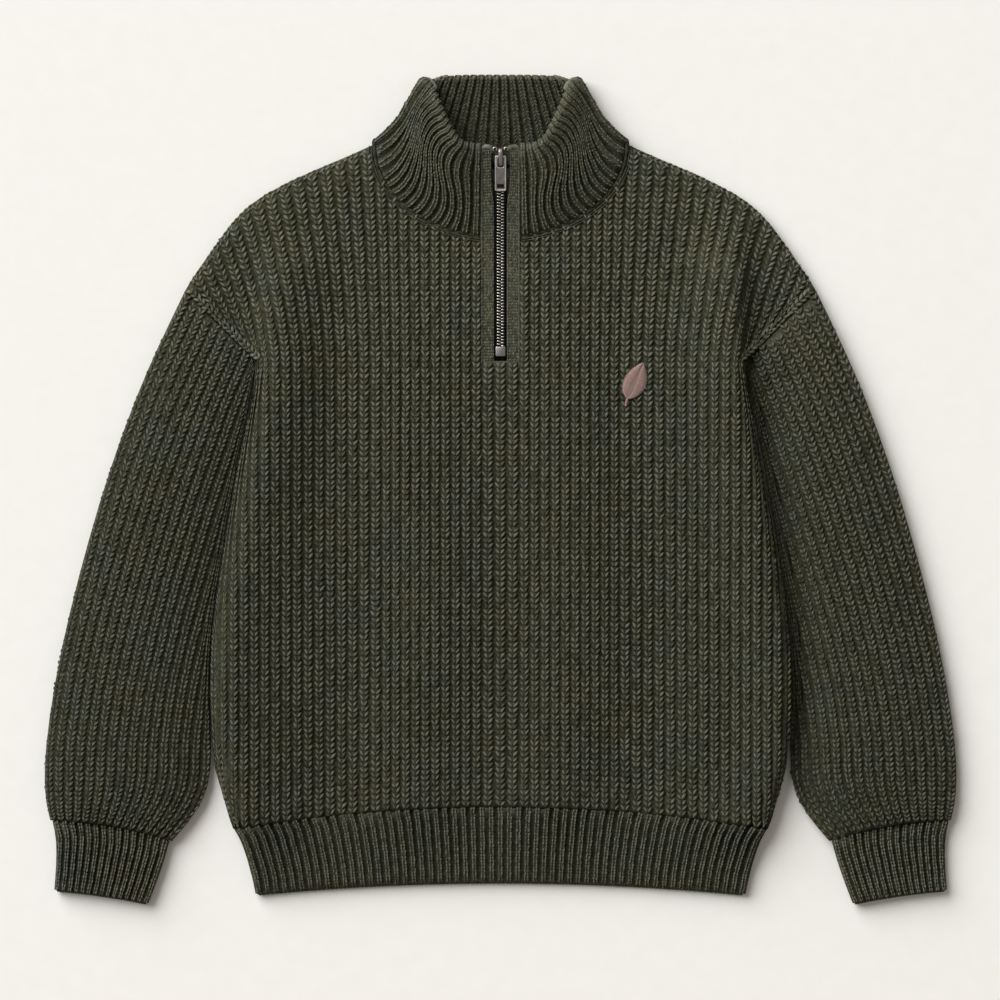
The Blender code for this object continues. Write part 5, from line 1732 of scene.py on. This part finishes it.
def stage():
    bpy.ops.mesh.primitive_plane_add(size=12, location=(0, 0, -0.0003))
    floor = bpy.context.object
    floor.name = "floor"
    made, tree = node_material("floor_paper", roughness=0.8)
    grain = noise(tree, object_place(tree), 60.0, 4.0)
    colour = ramp(tree, grain, [(0.3, (0.86, 0.84, 0.80)), (0.7, (0.88, 0.86, 0.82))])
    fill(tree, tree.nodes[SHADER].inputs["Base Color"], colour)
    floor.data.materials.append(made)

    world = bpy.data.worlds.new("studio")
    world.use_nodes = True
    background = world.node_tree.nodes["Background"]
    background.inputs["Color"].default_value = (1.0, 0.95, 0.87, 1.0)
    background.inputs["Strength"].default_value = 0.29
    bpy.context.scene.world = world

    key = bpy.data.lights.new("key", "AREA")
    key.shape = "DISK"
    key.size = 28.0
    key.energy = 13400.0
    key.color = (0.970, 0.982, 1.0)
    light = bpy.data.objects.new("key", key)
    light.location = (-16.1, 16.1, 14.0)
    light.rotation_euler = (-light.location).to_track_quat("-Z", "Y").to_euler()
    bpy.context.scene.collection.objects.link(light)

    camera = bpy.data.objects.new("camera", bpy.data.cameras.new("camera"))
    camera.data.lens = 36.0 * CAMERA_HEIGHT / (1000 * PIXEL * MM)
    camera.data.clip_end = 50
    x, y = VIEW_CENTRE
    camera.location = (x * MM, (y + CENTRE_Y) * MM, CAMERA_HEIGHT)
    bpy.context.scene.collection.objects.link(camera)
    bpy.context.scene.camera = camera
    bpy.context.scene.view_settings.view_transform = "Standard"
    bpy.context.scene.view_settings.look = "None"


# ---------------------------------------------------------------- the whole

# The grounds are dark as painted shade between the stitches, and lighter as painted light on
# crests; the seam's is all painted shade.
GROUNDS = (  # name, colour in the valleys, between, and on the crests
    ("knit_ground", (0.034, 0.034, 0.019), (0.039, 0.039, 0.023), (0.050, 0.050, 0.031)),
    ("band_ground", (0.018, 0.018, 0.010), (0.033, 0.033, 0.019), (0.068, 0.068, 0.044)),
    ("collar_ground", (0.024, 0.024, 0.013), (0.044, 0.044, 0.027), (0.082, 0.082, 0.056)),
    ("seam_painted_shade", (0.008, 0.008, 0.005), (0.012, 0.012, 0.007), (0.018, 0.018, 0.011)),
)
# The dimmest three are the same yarn darkened as painted shade: inside the collar, on the rolled
# edges and plackets' outer chains, and on the neckline cords.
YARNS = (  # name, brightness
    ("knit_yarn", 1.08), ("sleeve_yarn", 0.98), ("band_yarn", 1.16), ("collar_yarn", 1.04),
    ("collar_inside_painted_shade_yarn", 0.66), ("edge_painted_shade_yarn", 0.62), ("neckline_painted_shade_yarn", 0.36),
)
PLACKET_YARN = (0.062, 0.062, 0.040), (0.205, 0.206, 0.154)  # its dark and its bright stitches
PLAIN_KNITS = (  # name, width and height of a stitch, light and dark colour
    ("knit_plain", 4.6, 3.6, (0.060, 0.060, 0.043), (0.016, 0.016, 0.011)),
    ("placket_plain", 2.56, 2.6, (0.100, 0.101, 0.071), (0.062, 0.062, 0.043)),
)
# The last two are darkened metal: painted shade on the slider's wings under the tab, and painted
# shadow in the tab's slot.
METALS = (  # name, colour, roughness, stretch of its grain
    ("nickel", (0.60, 0.57, 0.52), 0.36, (1.0, 4.0, 1.0)),
    ("gunmetal", (0.36, 0.334, 0.315), 0.42, (6.0, 0.6, 6.0)),
    ("polished_edge", (0.80, 0.765, 0.72), 0.46, (1.0, 4.0, 1.0)),
    ("gunmetal_painted_shade", (0.085, 0.066, 0.058), 0.5, (6.0, 0.6, 6.0)),
    ("slot_painted_shadow", (0.035, 0.022, 0.018), 0.6, (1.0, 1.0, 1.0)),
)


def main():
    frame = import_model()
    stage()
    rng = np.random.default_rng(7)
    ground, band_ground, collar_ground, seam_painted_shade = (
        ground_material(*row) for row in GROUNDS
    )
    yarn, sleeve_yarn, band, collar_band, collar_inside_painted_shade, edge, neckline_painted_shade_yarn = (
        yarn_material(*row) for row in YARNS
    )
    fine = yarn_material("placket_yarn", 0.96, 0.6, *PLACKET_YARN)
    nickel, gunmetal, polished, slider_painted_shade, slot_painted_shadow = (metal_material(*row) for row in METALS)
    plain, placket = (plain_knit_material(*row) for row in PLAIN_KNITS)
    tape = tape_material()

    shells = {}
    for node, slot, levels, lift in (
        ("front_panel", "knit", 1, body_lift), ("back_panel", "knit", 0, None),
        ("hem_front", "band_knit", 1, body_lift), ("hem_back", "band_knit", 0, None),
        ("sleeve_left", "knit", 1, sleeve_lift), ("sleeve_right", "knit", 1, sleeve_lift),
        ("cuff_left", "band_knit", 1, None), ("cuff_right", "band_knit", 1, None),
    ):
        outer = band_ground if slot == "band_knit" else ground
        shells[node] = shell(frame, node, (outer, plain), levels, lift)
    front, hem = Surface(shells["front_panel"]), Surface(shells["hem_front"])
    body_stitches(front, yarn, rng)
    hem_stitches(hem, band, rng)
    for word, side in SIDES:
        sleeve_stitches(Surface(shells[f"sleeve_{word}"]), sleeve_yarn, rng, word, side)
        cuff_stitches(Surface(shells[f"cuff_{word}"]), band, rng, word, side)
    collar = CollarCloth()
    shells["collar"] = collar_shell(collar, collar_ground)
    collar_stitches(collar, collar_band, collar_inside_painted_shade, rng)
    collar_corners(collar, collar_band)
    seam_cords(shells, seam_painted_shade, ground)
    neckline_cords(front, neckline_painted_shade_yarn)
    rolled_edges(edge)
    armhole_stitches(front, yarn, rng)
    edge_stitches(front, yarn, rng)

    for word, _ in SIDES:
        shell(frame, f"placket_{word}", (placket, placket), 2, part=parted)
        shell(frame, f"zip_tape_{word}", (tape, tape), 0)
    placket_stitches(fine, rng)
    placket_edges(edge, fine)
    zip_teeth(nickel)
    zip_stop(gunmetal)
    zip_slider(slider_painted_shade, gunmetal)
    slider_hooks(nickel)
    pull_tab(gunmetal, polished, slot_painted_shadow)
    leaf_motif(front, thread_material("leaf_thread", MAUVE))


main()
